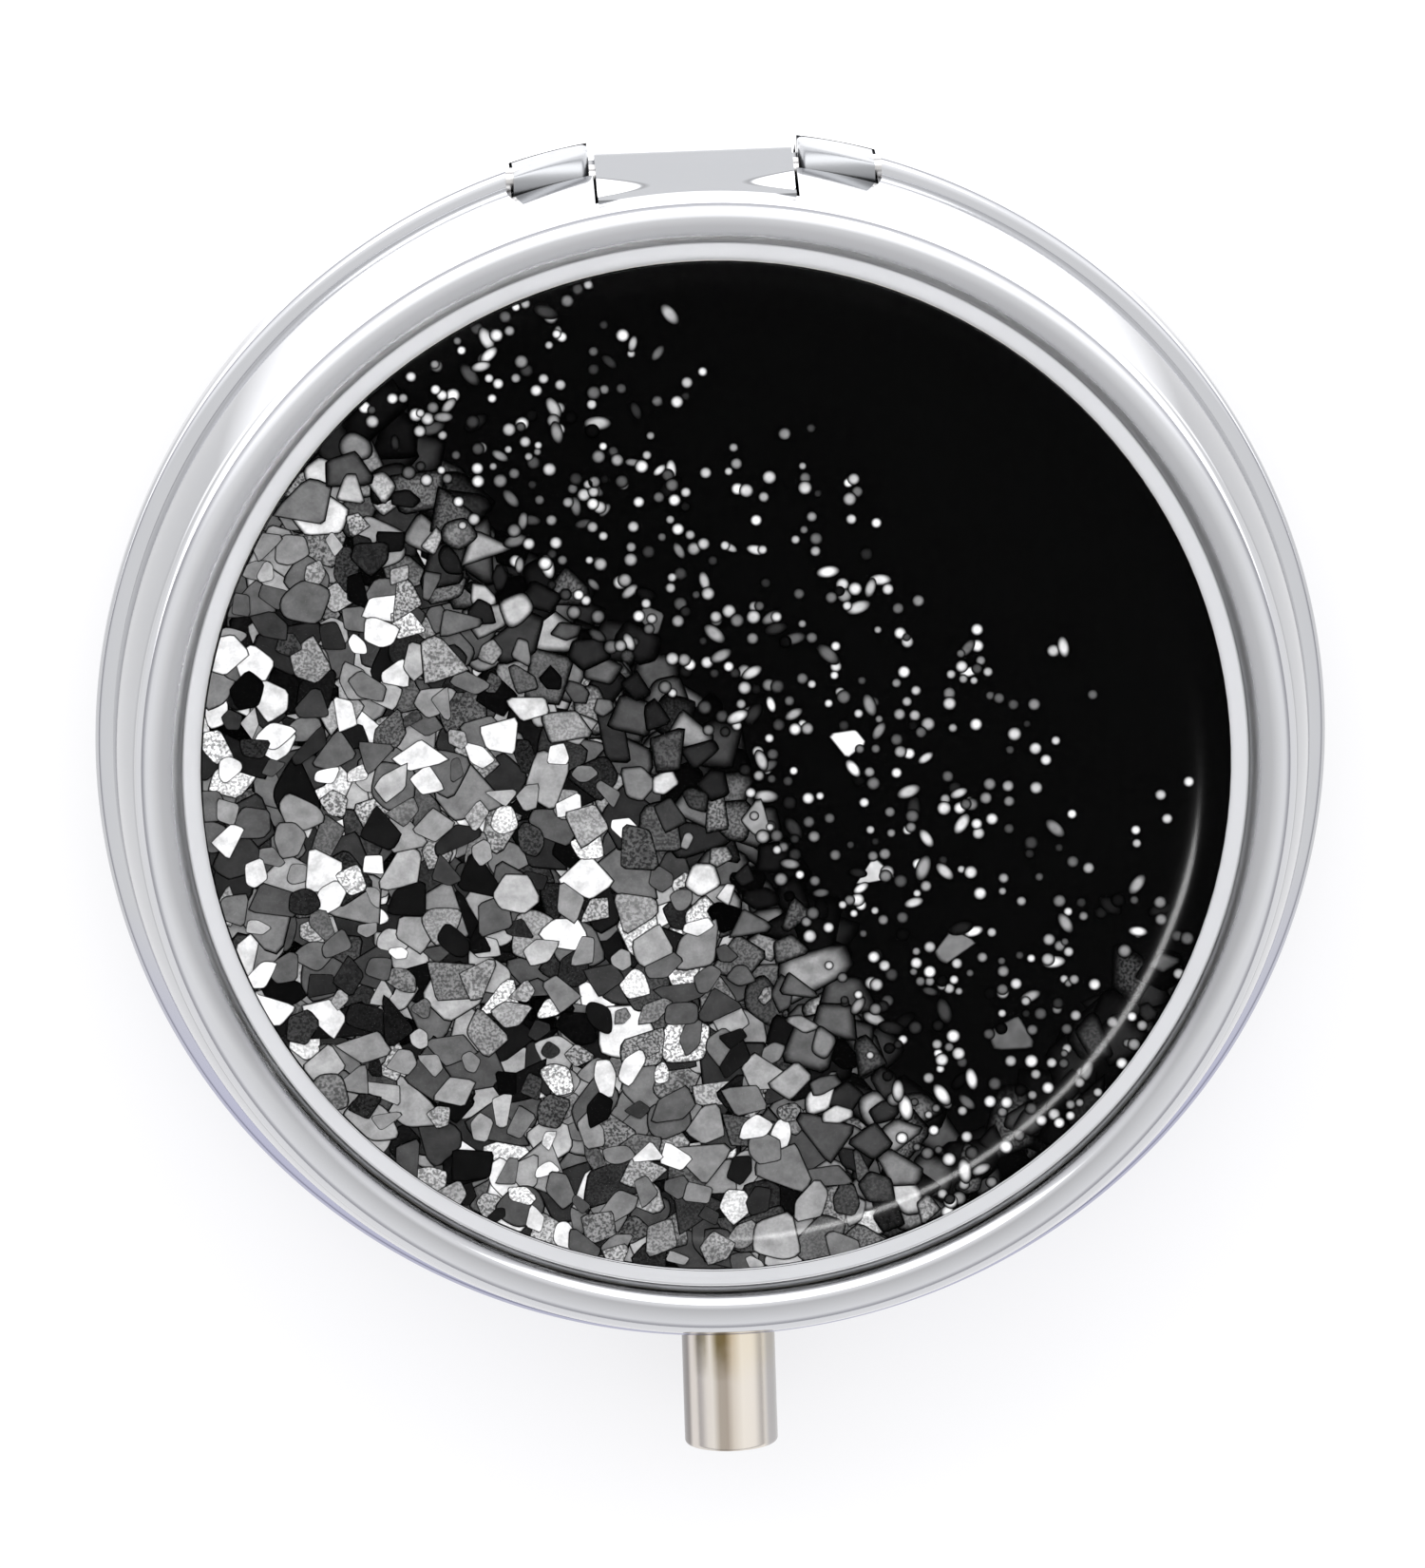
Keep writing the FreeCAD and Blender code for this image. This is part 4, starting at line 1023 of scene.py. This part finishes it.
def coil_spring():
    """A wire of round section carried along a helix about Y: (R cos t, y, R sin t) at the button's height, where
    y stands still over the closed end coils and climbs evenly between them."""
    turn = np.linspace(0, 2 * pi * coil_turns, wire_stations)[:, None]
    climbed = np.clip((turn / turn[-1] - closed_share) / (1 - 2 * closed_share), 0, 1)
    low, high = spring_low.y + wire_radius, spring_high.y - wire_radius
    about = np.linspace(0, 2 * pi, wire_sides, endpoint=False)[None, :]
    reach = coil_radius + wire_radius * np.cos(about)
    x, z = reach * np.cos(turn), button_z + reach * np.sin(turn)
    y = low + (high - low) * climbed + wire_radius * np.sin(about)
    points = np.stack((x, y + 0 * x, z), axis=-1).reshape(-1, 3)
    around_wire = grid_faces(wire_stations, wire_sides, wrap_columns=True)[:, ::-1]
    first = np.arange(wire_sides)[None, :]
    last = (wire_stations - 1) * wire_sides + np.arange(wire_sides)[::-1][None, :]
    return piece_from("return_spring_skin", points, [around_wire, first, last], sharp=60)


spring = finish_piece(coil_spring(), "base", "steel", steel, "return_spring")
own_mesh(spring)


# ---- inside ------------------------------------------------------------------------------------------
# A glossy black moulded tray and mirror ring, drawn aluminium pans with glue under them, pressed powder cakes
# with an embossed swirl, a silvered glass mirror and its foam pad.


def moulded(name, colour, roughness, grain, depth):
    """Moulded plastic or foam: one colour with a fine even grain in its surface."""
    made, nodes, shader = new_material(name)
    bits = add(nodes, "TexNoise", Scale=grain, Detail=3.0)
    nodes.links.new(add(nodes, "TexCoord").outputs["Object"], bits.inputs["Vector"])
    dim = tuple(0.8 * c for c in colour)
    nodes.links.new(ramp(nodes, bits.outputs["Fac"], (0.3, dim), (0.7, colour)), shader.inputs["Base Color"])
    bump = add(nodes, "Bump", Strength=depth, Distance=0.05 * MM)
    link_all(nodes, (bits.outputs["Fac"], bump.inputs["Height"]), (bump.outputs[0], shader.inputs["Normal"]))
    shader.inputs["Roughness"].default_value = roughness
    return made


black_plastic = moulded("black_plastic", (0.012, 0.012, 0.013), 0.22, 2500.0, 0.1)
glue = moulded("clear_glue", (0.6, 0.58, 0.5), 0.3, 900.0, 0.2)
foam = moulded("foam", (0.5, 0.5, 0.5), 0.95, 6000.0, 0.8)
for node in ("tray", "mirror_bezel"):
    frame["nodes"][node].material_slots[0].material = black_plastic
for node in ("glue_rear", "glue_left", "glue_right", "decal_adhesive"):
    frame["nodes"][node].material_slots[0].material = glue
frame["nodes"]["mirror_pad"].material_slots[0].material = foam
silvering = plated_metal("silvered_glass", (0.93, 0.94, 0.95), roughness=0.02, haze=0.01, scuff=0.0)[0]
frame["nodes"]["mirror"].material_slots[0].material = silvering
aluminium = plated_metal("aluminium", (0.8, 0.8, 0.81), roughness=0.3, haze=0.1)[0]
powder_bevel = 0.35 * MM
emboss = 0.12 * MM
rings, spokes = 120, 256
for place_name, shade_name, colour, shimmer in (
    ("rear", "champagne", (0.62, 0.42, 0.27), 0.5),
    ("left", "rose", (0.55, 0.2, 0.2), 0.06),
    ("right", "plum", (0.12, 0.035, 0.075), 0.4),
):
    frame["nodes"][f"pan_{place_name}"].material_slots[0].material = aluminium
    low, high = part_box(f"powder_{place_name}")
    middle_x, middle_y = (low.x + high.x) / 2, (low.y + high.y) / 2
    cake_radius = (high.x - low.x) / 2
    part = np.linspace(0.004, 1, rings)[:, None]
    angle = np.linspace(0, 2 * pi, spokes, endpoint=False)[None, :]
    r = part * (cake_radius - powder_bevel)
    petals = 0.5 + 0.5 * np.cos(7 * angle + 5 * part)
    fall = np.clip((0.86 - part) / 0.12, 0, 1) * np.clip(part / 0.15, 0, 1)
    top = high.z - emboss * petals**2 * fall
    rows_r = np.vstack((r + 0 * angle, np.full((2, spokes), cake_radius), (r + 0 * angle)[:1]))
    rows_z = np.vstack((top, np.full((1, spokes), high.z - powder_bevel), np.full((2, spokes), low.z)))
    points = np.stack((middle_x + rows_r * np.cos(angle), middle_y + rows_r * np.sin(angle), rows_z), axis=-1)
    points = np.vstack((points.reshape(-1, 3), [(middle_x, middle_y, high.z), (middle_x, middle_y, low.z)]))
    total = (rings + 3) * spokes
    here = np.arange(spokes)
    after = (here + 1) % spokes
    cap_top = np.column_stack((np.full(spokes, total), here, after))
    foot = (rings + 2) * spokes
    cap_foot = np.column_stack((np.full(spokes, total + 1), foot + after, foot + here))
    cake_faces = grid_faces(rings + 3, spokes, wrap_columns=True)[:, ::-1]
    cake = piece_from(f"powder_{place_name}_skin", points, [cake_faces, cap_top, cap_foot])
    powder, nodes, shader = new_material(f"powder_{place_name}")
    place = add(nodes, "TexCoord").outputs["Object"]
    dust = add(nodes, "TexNoise", Scale=5000.0, Detail=4.0)
    flakes = add(nodes, "TexVoronoi", Scale=9000.0)
    link_all(nodes, (place, dust.inputs["Vector"]), (place, flakes.inputs["Vector"]))
    dim = tuple(0.78 * c for c in colour)
    nodes.links.new(ramp(nodes, dust.outputs["Fac"], (0.3, dim), (0.7, colour)), shader.inputs["Base Color"])
    glint = ramp(nodes, flakes.outputs["Color"], (0.9 - 0.5 * shimmer, 0.0), (0.95, shimmer * 1.6))
    nodes.links.new(glint, shader.inputs["Metallic"])
    bump = add(nodes, "Bump", Strength=0.35, Distance=0.03 * MM)
    link_all(nodes, (dust.outputs["Fac"], bump.inputs["Height"]), (bump.outputs[0], shader.inputs["Normal"]))
    shader.inputs["Roughness"].default_value = 0.62
    shader.inputs["Sheen Weight"].default_value = 0.3
    shader.inputs["Sheen Roughness"].default_value = 0.4
    finish_piece(cake, "base", f"powder_{shade_name}", powder, f"powder_{place_name}")
